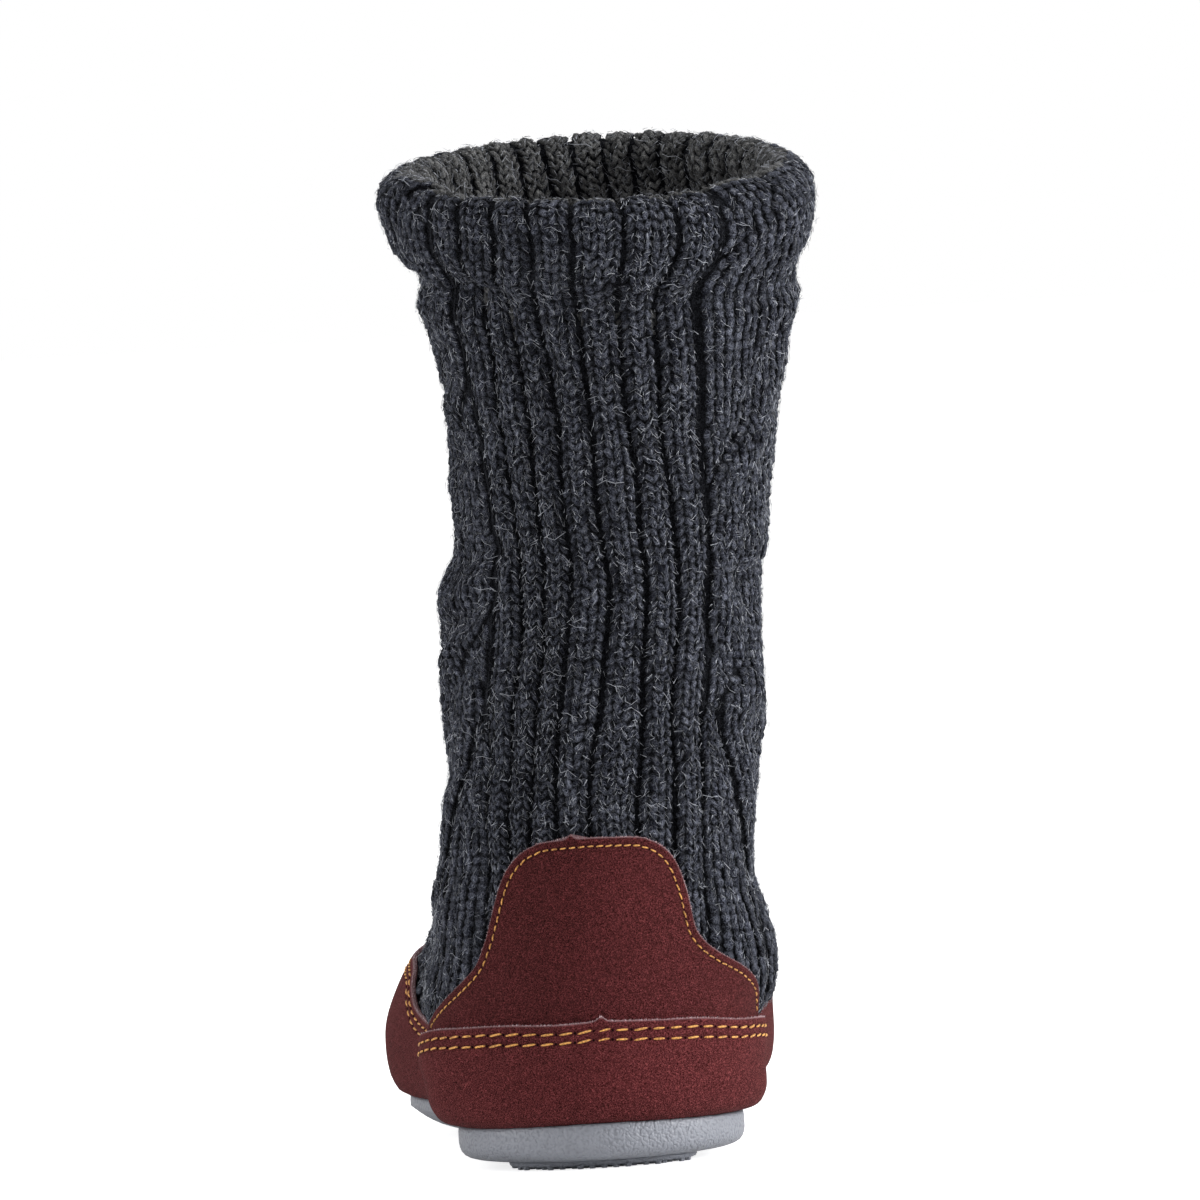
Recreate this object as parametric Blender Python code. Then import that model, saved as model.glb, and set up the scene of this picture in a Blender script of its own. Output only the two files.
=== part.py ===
"""A left boot slipper: a cable-knit upper with a rolled collar, suede foxing round the foot,
a suede heel patch, a moulded outsole and an insole.

Metres, +Z up. +Y runs to the toe and +X to the wearer's right, the medial side of this left shoe.
The origin is on the floor, under the middle of the shoe's outer box. The tables and the named sizes
are in millimetres, and there Y starts at the back edge of the sole and X at the middle of the heel.
"""

from collections import namedtuple

import bmesh
import bpy
import numpy as np

MM = 0.001

# Sole
SOLE_LENGTH = 266.0
SOLE_TOP = 10.5  # where the upper sits, above the floor at the heel
SOLE_BOTTOM = 3.0  # the moulded underside between the tread pads
SOLE_HEEL_HALF = 36.2
SOLE_WAIST_HALF = 34.0
SOLE_BALL_HALF = 45.6
SOLE_TOE_HALF = 43.5
ARCH_RISE = 2.4
ARCH_FROM, ARCH_TO = 62.0, 132.0
TOE_SPRING = 9.0
SPRING_FROM = 184.0  # the sole is flat on the floor from the heel to here

# Foot and shaft, over the outside of the knit
HEEL_HALF = 42.2
WAIST_HALF = 38.6
BALL_HALF = 49.4
TOE_HALF = 46.8
HEEL_AT, WAIST_AT, BALL_AT, TOE_AT = 38.0, 104.0, 178.0, 236.0  # along Y, where those widths are
SHAFT_HALF = 39.8  # at mid calf
SHAFT_BACK, SHAFT_FRONT = 1.2, 101.2  # along Y at mid calf

# Rolled collar, an egg-shaped bead round the top of the shaft
ROLL_TUCK = 218.0  # underside of the roll at the back, above the floor
ROLL_WIDEST = 236.0
ROLL_CREST = 242.5
ROLL_HALF = 55.0  # half the shoe's width over the roll
ROLL_BACK, ROLL_FRONT = -12.4, 113.4  # along Y over the roll
ROLL_THICK = 12.2  # from its outside to the inside of the opening
ROLL_TILT = 17.0  # the collar is this much higher in front
ROLL_ROCK = 0.02  # and its plane falls to the medial side by this slope

# Walls and gaps
KNIT = 3.6
SUEDE = 1.4
INSOLE = 4.0
GAP = 0.3
PATCH_GAP = 0.5  # its grid runs across the knit's, so it stands off a little more

# The foxing's top edge: the height of the ring it lies on, by degrees round from the heel. It dips
# to the side seams, where its two panels meet, and rises from there to the toe.
FOXING_EDGE = ((0, 36.8), (27, 35.0), (49, 32.6), (67.5, 30.8), (76, 33.5), (88, 37.5), (101, 42.0),
               (112, 45.5), (126, 50.0), (145, 52.0), (180, 52.0))
SEAM_TURN = 67.5

PATCH_FOOT, PATCH_FLARE = 37.0, 46.5  # the patch's lowest row, and where it starts to spread
SEAM_GAP = 0.2  # between the foxing panels, in degrees of turn

# The sole's section from its underside up: height above that, inset from the outline, and how much
# the arch lifts it.
SOLE_SECTION = ((0.0, 6.0, ARCH_RISE), (0.9, 2.6, ARCH_RISE), (2.6, 0.6, ARCH_RISE / 2), (4.6, 0.0, 0.0),
                (6.6, 0.2, 0.0), (7.5, 1.0, 0.0))
HEEL_ROUND, TOE_ROUND = 36.0, 58.0  # lengths over which the outline's ends close
PAD_COLUMNS = 32
PAD_DRAFT, PAD_SINK = 0.6, 2.0
INSOLE_EDGE = 1.8

# Tread pads
HEEL_PAD = dict(start=9.0, end=80.0, half_width=21.5, corner=17.0)
FORE_PAD = dict(start=120.0, end=240.0, half_width=31.5, corner=30.0)

COLUMNS = 48  # points round a ring
ROCK_FROM = 120.0  # height from which the rings start to rock
TILT_GROWTH = 4  # the rings' tilt comes in toward the top with this power of the height
PROBE_TURN, PROBE_UP = 0.02, 0.15  # how far off, in radians and millimetres, a normal is measured

PATCH_COLUMNS = 21  # points across the heel patch
PATCH_PROBES, PATCH_SPAN = 161, 100  # samples, and degrees each side, over which its reach is measured
MIN_STEP = 0.1  # a suede panel's end keeps this share of a column from the next one
SHARP_ANGLE = 50

# Base colour and roughness
KNIT_LOOK = ((0.024, 0.026, 0.032), 0.95)
SUEDE_LOOK = ((0.095, 0.024, 0.024), 0.85)
SOLE_LOOK = ((0.29, 0.30, 0.34), 0.6)
LINING_LOOK = ((0.05, 0.05, 0.055), 0.95)

FootRow = namedtuple("FootRow", "up back front_up front heel waist ball toe back_round front_round")
# One row for each ring of the foot, from the sole up to the throat. up and front_up: its height at
# the back and at the front, above the sole's top. back and front: where it ends along Y, with front
# a share of the sole's length. heel to toe: its half widths, as shares of the sizes above. The
# rounds are the lengths over which the ring's ends close.
FOOT_ROWS = (
    FootRow(2.0, 5.0, 2.0, 0.982, 0.805, 0.815, 0.872, 0.872, 32, 54),
    FootRow(2.9, 1.2, 2.9, 0.998, 0.900, 0.905, 0.936, 0.936, 35, 57),
    FootRow(4.9, -0.9, 4.9, 1.007, 0.955, 0.960, 0.971, 0.972, 37, 59),
    FootRow(8.9, -2.3, 8.9, 1.014, 0.988, 0.992, 0.993, 0.995, 38, 60),
    FootRow(15.5, -2.7, 15.5, 1.017, 1.000, 1.005, 1.000, 1.000, 38, 60),
    FootRow(25.0, -2.3, 24.0, 1.009, 0.985, 1.025, 0.985, 0.965, 38, 61),
    FootRow(35.0, -1.5, 32.0, 0.985, 0.955, 1.050, 0.955, 0.890, 38, 62),
    FootRow(45.0, -0.4, 39.0, 0.943, 0.932, 1.055, 0.890, 0.800, 39, 64),
    FootRow(55.5, 0.9, 46.0, 0.876, 0.922, 1.045, 0.815, 0.710, 40, 66),
    FootRow(66.5, 2.1, 54.5, 0.782, 0.920, 1.025, 0.745, 0.650, 41, 64),
    FootRow(77.5, 3.0, 64.0, 0.677, 0.925, 1.010, 0.710, 0.600, 42, 60),
    FootRow(89.5, 3.5, 75.5, 0.571, 0.940, 1.010, 0.720, 0.600, 44, 56),
    FootRow(102.5, 3.6, 90.5, 0.479, 0.955, 1.030, 0.780, 0.600, 46, 51),
    FootRow(116.5, 3.3, 108.5, 0.419, 0.960, 1.045, 0.860, 0.600, 48, 49),
)

ShaftRow = namedtuple("ShaftRow", "up back front half")
# One row for each level ring of the shaft: its height above the sole's top, how far its back and
# its front lie outside those of mid calf, and its half width as a share of mid calf's.
SHAFT_ROWS = (
    ShaftRow(132.5, -1.4, 2.6, 1.005),
    ShaftRow(154.5, 0.0, 0.0, 1.000),
    ShaftRow(177.5, 2.0, 0.8, 1.035),
    ShaftRow(192.5, 4.0, 2.6, 1.110),
    ShaftRow(205.5, 6.2, 4.8, 1.195),
)

# How far the middle of the foot lies off the heel's axis, by distance along Y.
FOOT_CURVE = ((0, 0.0), (60, 0.0), (110, -1.4), (178, -4.2), (230, -1.6), (270, 3.0))
# How far the shaft leans to the medial side, by height.
SHAFT_LEAN = (
    (0, 0.0), (25, 0.0), (50, 1.6), (79, 3.6), (116, 7.2), (166, 11.6), (205, 14.3), (225, 14.6),
    (255, 11.6),
)

# The heel patch's edge: how far it reaches round the heel from its middle line, by height.
PATCH_REACH = (
    (37, 60.0), (42, 58.0), (46.5, 51.0), (50, 41.5), (53.5, 32.5), (58, 28.0), (67, 25.2),
    (73, 23.2), (78, 20.4), (81, 17.2), (83, 12.0),
)
PATCH_LEAN = ((38, -0.3), (46, -0.2), (58, -2.6), (82, -2.2))  # off the shaft's own lean


def smooth(table, at):
    """The table's second column at the given value of its first, along a curve with no overshoot."""
    x, y = np.array(table, float).T
    at = np.clip(np.asarray(at, float), x[0], x[-1])
    step = np.diff(x)
    slope = np.diff(y) / step
    tangent = np.concatenate([slope[:1], (slope[:-1] + slope[1:]) / 2, slope[-1:]])
    turns = slope[:-1] * slope[1:] <= 0
    tangent[1:-1][turns] = 0.0
    limit = 3 * np.minimum(np.abs(slope[:-1]), np.abs(slope[1:]))
    tangent[1:-1] = np.clip(tangent[1:-1], -limit, limit)
    i = np.clip(np.searchsorted(x, at, side="right") - 1, 0, len(step) - 1)
    s = (at - x[i]) / step[i]
    rise = (3 - 2 * s) * s * s
    return (
        y[i] * (1 - rise)
        + y[i + 1] * rise
        + step[i] * (tangent[i] * s * (1 - s) ** 2 - tangent[i + 1] * s * s * (1 - s))
    )


def closing(distance, length):
    """A quarter ellipse from 0 at a ring's end to 1 where its end round stops."""
    return np.sqrt(1 - (1 - np.clip(distance / length, 0, 1)) ** 2)


def ring_rows():
    """Every ring of the upper below the roll as one table, in millimetres above the floor."""
    rows = []
    for row in FOOT_ROWS:
        widths = (row.heel * HEEL_HALF, row.waist * WAIST_HALF, row.ball * BALL_HALF, row.toe * TOE_HALF)
        ends = (row.back, row.front_up + SOLE_TOP, row.front * SOLE_LENGTH)
        rows.append((row.up + SOLE_TOP, *ends, *widths, row.back_round, row.front_round))
    for row in SHAFT_ROWS:
        back, front = SHAFT_BACK - row.back, SHAFT_FRONT + row.front
        half_depth = (front - back) / 2
        height = row.up + SOLE_TOP
        tilt = ROLL_TILT * (height / ROLL_TUCK) ** TILT_GROWTH
        widths = (row.half * SHAFT_HALF,) * 4
        rows.append((height, back, height + tilt, front, *widths, half_depth, half_depth))
    return np.array(rows)


RINGS = ring_rows()
# Heights at the heel of the rings that are built: those under the suede, as heights and then as
# shares of the way up to its edge, and those above it.
LOW_HEIGHTS = (12.5, 13.4, 15.4, 19.4, 26.0)
SUEDE_ROWS = (1 / 3, 2 / 3, 1.0)
KNIT_HEIGHTS = (61.0, 66.0, 71.5, 77.0, 82.5, 88.0, 94.0, 100.0, 106.5, 113.0, 120.0, 127.0, 135.0,
                143.0, 154.0, 165.0, 177.0, 188.0, 197.0, 204.0, 210.0, 216.0)
ROLL_ANGLES = (-75, -50, -25, 0, 25, 50, 72, 90, 112, 140, 180)
FOOT_TOP, SHAFT_FOOT = 28.0, 58.0  # rings follow the foot's curve below, the shaft's lean above


def step(at, first, last):
    """Rises smoothly from 0 at first to 1 at last."""
    share = np.clip((at - first) / (last - first), 0, 1)
    return share * share * (3 - 2 * share)


def ring(turn, spec):
    """Points of rings: turn goes round from the heel in radians, medial side first."""
    height, back, front_z, front, heel, waist, ball, toe, back_round, front_round = spec
    share = (1 - np.cos(turn)) / 2
    y = back + (front - back) * share
    z = height + (front_z - height) * share
    half = heel + (waist - heel) * step(y, HEEL_AT, WAIST_AT)
    half = half + (ball - waist) * step(y, WAIST_AT, BALL_AT) + (toe - ball) * step(y, BALL_AT, TOE_AT)
    half = half * closing(y - back, back_round) * closing(front - y, front_round)
    foot = 1 - step(height, FOOT_TOP, SHAFT_FOOT)
    middle = smooth(FOOT_CURVE, y) * foot + smooth(SHAFT_LEAN, z)
    across = half * np.sign(np.sin(turn))
    z = z - ROLL_ROCK * step(height, ROCK_FROM, ROLL_TUCK) * across
    return np.stack([middle + across, y, z], -1)


def upper_point(turn, height):
    """The outside of the knit below the roll, by turn and by the ring's height at the heel."""
    turn, height = np.broadcast_arrays(np.asarray(turn, float), np.asarray(height, float))
    columns = [smooth(RINGS[:, (0, c)], height) for c in range(1, RINGS.shape[1])]
    return ring(turn, [height, *columns])


def upper_skin(turn, height, out=0.0):
    """The outside of the knit moved out along its normal, and kept on top of the sole."""
    turn, height = np.broadcast_arrays(np.asarray(turn, float), np.asarray(height, float))
    low = np.maximum(height - PROBE_UP, RINGS[0, 0])
    high = np.minimum(height + PROBE_UP, RINGS[-1, 0])
    along = upper_point(turn + PROBE_TURN, height) - upper_point(turn - PROBE_TURN, height)
    above = upper_point(turn, high) - upper_point(turn, low)
    normal = np.cross(along, above)
    normal /= np.linalg.norm(normal, axis=-1, keepdims=True)
    point = upper_point(turn, height) + normal * out
    point[..., 2] = np.maximum(point[..., 2], SOLE_TOP + GAP)
    return point


def origin():
    """Middle of the outer box on the floor: roll and foot set its sides, roll and toe its ends."""
    right = smooth(SHAFT_LEAN, ROLL_WIDEST) + ROLL_HALF
    left = smooth(FOOT_CURVE, BALL_AT) - BALL_HALF - GAP - SUEDE
    toe = max(row.front for row in FOOT_ROWS) * SOLE_LENGTH + GAP + SUEDE
    return np.array([(left + right) / 2, (ROLL_BACK + toe) / 2, 0.0])


ORIGIN = origin()


def place(points):
    """Adds the toe spring, and turns millimetres from the heel into metres from the origin."""
    points = np.array(points, float)
    forward = np.clip((points[..., 1] - SPRING_FROM) / (SOLE_LENGTH - SPRING_FROM), 0, None)
    points[..., 2] += TOE_SPRING * forward ** 2
    return (points - ORIGIN) * MM


def new_object(name, points, faces, look):
    """One closed mesh object with its own material, its faces pointing out."""
    mesh = bpy.data.meshes.new(name)
    mesh.from_pydata([tuple(p) for p in points], [], faces)
    form = bmesh.new()
    form.from_mesh(mesh)
    bmesh.ops.recalc_face_normals(form, faces=form.faces)
    if form.calc_volume(signed=True) < 0:
        bmesh.ops.reverse_faces(form, faces=form.faces)
    form.to_mesh(mesh)
    form.free()
    mesh.shade_smooth()
    mesh.set_sharp_from_angle(angle=np.radians(SHARP_ANGLE))
    material = bpy.data.materials.new(name)
    material.use_nodes = True
    shader = material.node_tree.nodes["Principled BSDF"]
    colour, roughness = look
    shader.inputs["Base Color"].default_value = (*colour, 1)
    shader.inputs["Roughness"].default_value = roughness
    mesh.materials.append(material)
    item = bpy.data.objects.new(name, mesh)
    bpy.context.scene.collection.objects.link(item)
    return item


def lattice(points, first=0, around=False):
    """Triangles over a grid of points, whose rows may close on themselves. Every cell is split the
    same way, so two parallel grids stay parallel."""
    rows, columns = points.shape[:2]
    faces = []
    for r in range(rows - 1):
        for c in range(columns if around else columns - 1):
            a = first + r * columns + c
            b = first + r * columns + (c + 1) % columns
            faces += [(a, b, b + columns), (a, b + columns, a + columns)]
    return faces


def shell(name, outer, inner, look):
    """A wall between two open grids of the same size, closed along its edges."""
    rows, columns = outer.shape[:2]
    count = rows * columns
    faces = lattice(outer) + [f[::-1] for f in lattice(inner, count)]
    edge = [(r * columns + c, r * columns + c + 1) for r in (0, rows - 1) for c in range(columns - 1)]
    edge += [(r * columns + c, (r + 1) * columns + c) for c in (0, columns - 1) for r in range(rows - 1)]
    faces += [(a, b, b + count, a + count) for a, b in edge]
    points = np.concatenate([outer.reshape(-1, 3), inner.reshape(-1, 3)])
    return new_object(name, place(points), faces, look)


def ladder(columns, first):
    """Fills a ring whose points pair off across its long axis with strips from side to side."""
    faces = []
    for c in range(columns // 2):
        strip = (c, c + 1, (columns - c - 1) % columns, (columns - c) % columns)
        faces.append(tuple(dict.fromkeys(first + i for i in strip)))
    return faces


def stack(name, rings, look):
    """A solid through rings, one above the other, filled at its bottom and its top."""
    rings = np.array(rings)
    count, columns = rings.shape[:2]
    faces = lattice(rings, 0, True)
    faces += ladder(columns, 0) + [f[::-1] for f in ladder(columns, (count - 1) * columns)]
    return new_object(name, place(rings.reshape(-1, 3)), faces, look)


def knit_upper():
    """Outer wall up to the tuck, the roll over it, and the inner wall down to the sole."""
    turn = np.arange(COLUMNS) * 2 * np.pi / COLUMNS
    levels = suede_levels(turn)
    rest = KNIT_HEIGHTS[0] - levels[-1]
    levels += [levels[-1] + rest * share for share in (1 / 3, 2 / 3)]
    levels += [np.full(COLUMNS, height) for height in KNIT_HEIGHTS]
    outer = [upper_skin(turn, level) for level in levels]
    inner = [upper_skin(turn, level, -KNIT) for level in levels]
    # The roll is walked round its section, from its underside over the crest to its inner face.
    roll = []
    for angle in np.radians(ROLL_ANGLES):
        reach = ROLL_CREST - ROLL_WIDEST if np.sin(angle) > 0 else ROLL_WIDEST - ROLL_TUCK
        height = ROLL_WIDEST + reach * np.sin(angle)
        inset = ROLL_THICK / 2 * (1 - np.cos(angle))
        half = ROLL_HALF - inset
        back, front = ROLL_BACK + inset, ROLL_FRONT - inset
        depth = (front - back) / 2
        roll.append(ring(turn, [height, back, height + ROLL_TILT, front, *(half,) * 4, depth, depth]))
    walk = np.array(outer + roll + inner[::-1])
    count = len(walk) * COLUMNS
    faces = lattice(walk, 0, True)
    last = count - COLUMNS
    faces += [(last + c, last + (c + 1) % COLUMNS, (c + 1) % COLUMNS, c) for c in range(COLUMNS)]
    return new_object("knit_upper", place(walk.reshape(-1, 3)), faces, KNIT_LOOK)


def foxing_edge(turn):
    """Height of the ring that the suede's top edge lies on."""
    return smooth(FOXING_EDGE, np.abs((np.degrees(turn) + 180) % 360 - 180))


def suede_levels(turn):
    """Heights of the rings under the suede, whose last one follows its top edge."""
    span = foxing_edge(turn) - LOW_HEIGHTS[-1]
    rows = [np.full(len(turn), height) for height in LOW_HEIGHTS]
    return rows + [LOW_HEIGHTS[-1] + span * share for share in SUEDE_ROWS]


def suede_panel(name, first, last):
    """A suede strip round the foot, from the sole to its top edge, on the knit's own columns."""
    step_turn = 360 / COLUMNS
    inside = np.arange(np.ceil(first / step_turn + MIN_STEP), last / step_turn - MIN_STEP) * step_turn
    turn = np.radians([first, *inside, last])
    outer = np.array([upper_skin(turn, level, GAP + SUEDE) for level in suede_levels(turn)])
    inner = np.array([upper_skin(turn, level, GAP) for level in suede_levels(turn)])
    return shell(name, outer, inner, SUEDE_LOOK)


def heel_patch():
    """The patch up the back of the heel, between two forms of the upper's own surface."""
    across = np.linspace(-1, 1, PATCH_COLUMNS)
    probe = np.radians(np.linspace(-PATCH_SPAN, PATCH_SPAN, PATCH_PROBES))
    outer, inner = [], []
    for height, reach in PATCH_REACH:
        path = upper_point(probe, height)
        length = np.concatenate([[0], np.cumsum(np.linalg.norm(np.diff(path, axis=0), axis=1))])
        middle = np.interp(0.0, probe, length) + smooth(PATCH_LEAN, height)
        turn = np.interp(middle + across * reach, length, probe)
        # Below the flare the rows close up onto the foxing's top edge.
        low = foxing_edge(turn) + 2 * GAP
        share = np.clip((height - PATCH_FOOT) / (PATCH_FLARE - PATCH_FOOT), 0, 1)
        level = low + (PATCH_FLARE - low) * share if height < PATCH_FLARE else np.full_like(turn, height)
        outer.append(upper_skin(turn, level, PATCH_GAP + SUEDE))
        inner.append(upper_skin(turn, level, PATCH_GAP))
    return shell("heel_patch", np.array(outer), np.array(inner), SUEDE_LOOK)


def sole_ring(height, inset, arched=0.0):
    """The sole's outline at one height, drawn in by an inset and lifted under the arch."""
    halves = [half - inset for half in (SOLE_HEEL_HALF, SOLE_WAIST_HALF, SOLE_BALL_HALF, SOLE_TOE_HALF)]
    turn = np.arange(COLUMNS) * 2 * np.pi / COLUMNS
    points = ring(turn, [height, inset, height, SOLE_LENGTH - inset, *halves, HEEL_ROUND, TOE_ROUND])
    along = step(points[:, 1], ARCH_FROM, ARCH_TO)
    points[:, 2] += arched * 4 * along * (1 - along)  # a hump, 1 high half way
    return points


def tread_pad(name, start, end, half_width, corner):
    """A tread pad under the sole, reaching up into it."""
    turn = np.arange(PAD_COLUMNS) * 2 * np.pi / PAD_COLUMNS
    rings = []
    for height, inset in ((0.0, PAD_DRAFT), (SOLE_BOTTOM + PAD_SINK, 0.0)):
        half = half_width - inset
        rings.append(ring(turn, [height, start + inset, height, end - inset, *(half,) * 4, corner, corner]))
    return stack(name, rings, SOLE_LOOK)


def outsole():
    """One moulding: a dished body with round lower edges, and the two tread pads it stands on."""
    rings = [sole_ring(SOLE_BOTTOM + up, inset, lift) for up, inset, lift in SOLE_SECTION]
    body = stack("outsole", rings, SOLE_LOOK)
    for name, size in (("heel_pad", HEEL_PAD), ("fore_pad", FORE_PAD)):
        pad = tread_pad(name, **size)
        pad.hide_render = True
        pad.display_type = "WIRE"
        union = body.modifiers.new(name, "BOOLEAN")
        union.operation = "UNION"
        union.object = pad
    return body


def insole():
    """A flat footbed that fills the upper's floor, a little wider at its top than underneath."""
    bottom = SOLE_TOP + GAP
    first = RINGS[0]
    turn = np.arange(COLUMNS) * 2 * np.pi / COLUMNS
    rings = []
    for up, inset in ((0.0, KNIT + GAP), (INSOLE, INSOLE_EDGE)):
        halves = [half - inset for half in first[4:8]]
        ends = (first[1] + inset, bottom + up, first[3] - inset)
        rings.append(ring(turn, [bottom + up, *ends, *halves, *first[8:]]))
    return stack("insole", rings, LINING_LOOK)


def main():
    for item in list(bpy.data.objects):
        bpy.data.objects.remove(item)
    outsole()
    insole()
    knit_upper()
    suede_panel("heel_foxing", -SEAM_TURN, SEAM_TURN)
    suede_panel("toe_foxing", SEAM_TURN + SEAM_GAP, 360 - SEAM_TURN - SEAM_GAP)
    heel_patch()


main()
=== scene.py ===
import math

import bmesh
import bpy
import numpy as np
from mathutils import Matrix, Vector
from mathutils.kdtree import KDTree


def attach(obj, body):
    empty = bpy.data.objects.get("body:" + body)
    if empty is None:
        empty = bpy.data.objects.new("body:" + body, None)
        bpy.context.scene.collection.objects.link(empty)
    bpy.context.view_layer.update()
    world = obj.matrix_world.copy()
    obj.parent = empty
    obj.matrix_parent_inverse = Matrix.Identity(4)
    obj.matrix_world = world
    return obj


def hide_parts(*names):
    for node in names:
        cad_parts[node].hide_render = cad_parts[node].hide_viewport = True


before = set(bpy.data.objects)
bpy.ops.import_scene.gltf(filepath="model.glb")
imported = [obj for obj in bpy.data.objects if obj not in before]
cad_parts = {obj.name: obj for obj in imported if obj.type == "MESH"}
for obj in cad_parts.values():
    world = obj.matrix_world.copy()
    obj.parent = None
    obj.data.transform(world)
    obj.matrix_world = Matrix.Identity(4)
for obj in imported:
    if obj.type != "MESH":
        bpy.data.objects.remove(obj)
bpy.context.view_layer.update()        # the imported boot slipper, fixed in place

scene = bpy.context.scene
rng = np.random.default_rng(41)
mm = 0.001
print("boot slipper: frame loaded")


# The last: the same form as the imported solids, in millimetres from the heel's axis
last = dict(
    soleLength=266.0, soleTop=10.5, archRise=2.4, archFrom=62.0, archTo=132.0,
    toeSpring=9.0, springFrom=184.0,
    soleHalves=(36.2, 34.0, 45.6, 43.5),      # heel, waist, ball and toe
    footHalves=(42.2, 38.6, 49.4, 46.8),
    widthsAt=(38.0, 104.0, 178.0, 236.0),     # along Y
    shaftHalf=39.8, shaftBack=1.2, shaftFront=101.2,
    rollTuck=218.0, rollWidest=236.0, rollCrest=242.5, rollHalf=55.0, rollBack=-12.4,
    rollFront=113.4, rollThick=12.2, rollTilt=17.0, rollRock=0.02,
    knit=3.6, suede=1.4, gap=0.3, seamTurn=67.5, heelPinch=2.2,
)

# up, back, height in front, front as a share, then heel, waist, ball, toe, back and front rounds
footRows = (
    (2.0, 5.0, 2.0, 0.982, 0.805, 0.815, 0.872, 0.872, 32, 54),
    (2.9, 1.2, 2.9, 0.998, 0.900, 0.905, 0.936, 0.936, 35, 57),
    (4.9, -0.9, 4.9, 1.007, 0.955, 0.960, 0.971, 0.972, 37, 59),
    (8.9, -2.3, 8.9, 1.014, 0.988, 0.992, 0.993, 0.995, 38, 60),
    (15.5, -2.7, 15.5, 1.017, 1.000, 1.005, 1.000, 1.000, 38, 60),
    (25.0, -2.3, 24.0, 1.009, 0.985, 1.025, 0.985, 0.965, 38, 61),
    (35.0, -1.5, 32.0, 0.985, 0.955, 1.050, 0.955, 0.890, 38, 62),
    (45.0, -0.4, 39.0, 0.943, 0.932, 1.055, 0.890, 0.800, 39, 64),
    (55.5, 0.9, 46.0, 0.876, 0.922, 1.045, 0.815, 0.710, 40, 66),
    (66.5, 2.1, 54.5, 0.782, 0.920, 1.025, 0.745, 0.650, 41, 64),
    (77.5, 3.0, 64.0, 0.677, 0.925, 1.010, 0.710, 0.600, 42, 60),
    (89.5, 3.5, 75.5, 0.571, 0.940, 1.010, 0.720, 0.600, 44, 56),
    (102.5, 3.6, 90.5, 0.479, 0.955, 1.030, 0.780, 0.600, 46, 51),
    (116.5, 3.3, 108.5, 0.419, 0.960, 1.045, 0.860, 0.600, 48, 49),
)
shaftRows = (   # up, back, front, half
    (132.5, -1.4, 2.6, 1.005),
    (154.5, 0.0, 0.0, 1.000),
    (177.5, 2.0, 0.8, 1.035),
    (192.5, 4.0, 2.6, 1.110),
    (205.5, 6.2, 4.8, 1.195),
)
footCurve = ((0, 0.0), (60, 0.0), (110, -1.4), (178, -4.2), (230, -1.6), (270, 3.0))
shaftLean = ((0, 0.0), (25, 0.0), (50, 1.6), (79, 3.6), (116, 7.2), (166, 11.6), (205, 14.3),
             (225, 14.6), (255, 11.6))
foxingEdge = (
    (0, 36.8), (27, 35.0), (49, 32.6), (67.5, 30.8), (76, 33.5), (88, 37.5), (101, 42.0), (112, 45.5),
    (126, 50.0), (145, 52.0), (180, 52.0),
)

# How the lateral rim of the toe panel leaves that even line: turn, mm up
rimShift = (
    (-180, 0.0), (-140, 0.0), (-126, 2.0), (-118, 3.6), (-110, 5.0), (-104, 5.2), (-100, 4.6), (-96, 0.8),
    (-92, -2.4), (-86, -3.6), (-80, -2.2), (-74, -0.4), (-68, 0.0), (180, 0.0),
)


def smooth(table, at):
    # the table's second column along a curve with no overshoot
    x, y = np.array(table, float).T
    at = np.clip(np.asarray(at, float), x[0], x[-1])
    step = np.diff(x)
    slope = np.diff(y) / step
    tangent = np.concatenate([slope[:1], (slope[:-1] + slope[1:]) / 2, slope[-1:]])
    tangent[1:-1][slope[:-1] * slope[1:] <= 0] = 0.0
    limit = 3 * np.minimum(np.abs(slope[:-1]), np.abs(slope[1:]))
    tangent[1:-1] = np.clip(tangent[1:-1], -limit, limit)
    i = np.clip(np.searchsorted(x, at, side="right") - 1, 0, len(step) - 1)
    s = (at - x[i]) / step[i]
    rise = (3 - 2 * s) * s * s
    return (y[i] * (1 - rise) + y[i + 1] * rise
            + step[i] * (tangent[i] * s * (1 - s) ** 2 - tangent[i + 1] * s * s * (1 - s)))


def both(a, b):
    # two values as float arrays of one shape
    return np.broadcast_arrays(np.asarray(a, float), np.asarray(b, float))


def unitLong(vectors):
    return vectors / np.maximum(np.linalg.norm(vectors, axis=-1, keepdims=True), 1e-9)


def runLength(points):
    # how far along a line of points each one lies
    return np.concatenate([[0], np.cumsum(np.linalg.norm(np.diff(points, axis=0), axis=-1))])


def pointsAlong(at, length, *grids):
    # each grid's rows read at these lengths along it
    return [np.stack([np.interp(at, length, grid[:, k]) for k in range(3)], -1) for grid in grids]


def aroundFrom(degrees, middle=0.0):
    # a turn as -180 to 180 degrees from another
    return (degrees - middle + 180) % 360 - 180


def eased(at, first, final):
    share = np.clip((at - first) / (final - first), 0, 1)
    return share * share * (3 - 2 * share)


def closing(distance, length):
    return np.sqrt(1 - (1 - np.clip(distance / length, 0, 1)) ** 2)


def ringTable():
    rows = []
    for up, back, frontUp, front, *shares, backRound, frontRound in footRows:
        halves = [share * half for share, half in zip(shares, last["footHalves"])]
        rows.append((up + last["soleTop"], back, frontUp + last["soleTop"], front * last["soleLength"],
                     *halves, backRound, frontRound))
    for up, back, front, half in shaftRows:
        first, final = last["shaftBack"] - back, last["shaftFront"] + front
        height = up + last["soleTop"]
        tilt = last["rollTilt"] * (height / last["rollTuck"]) ** 4
        depth = (final - first) / 2
        rows.append((height, first, height + tilt, final, *(half * last["shaftHalf"],) * 4, depth, depth))
    return np.array(rows)


rings = ringTable()


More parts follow.
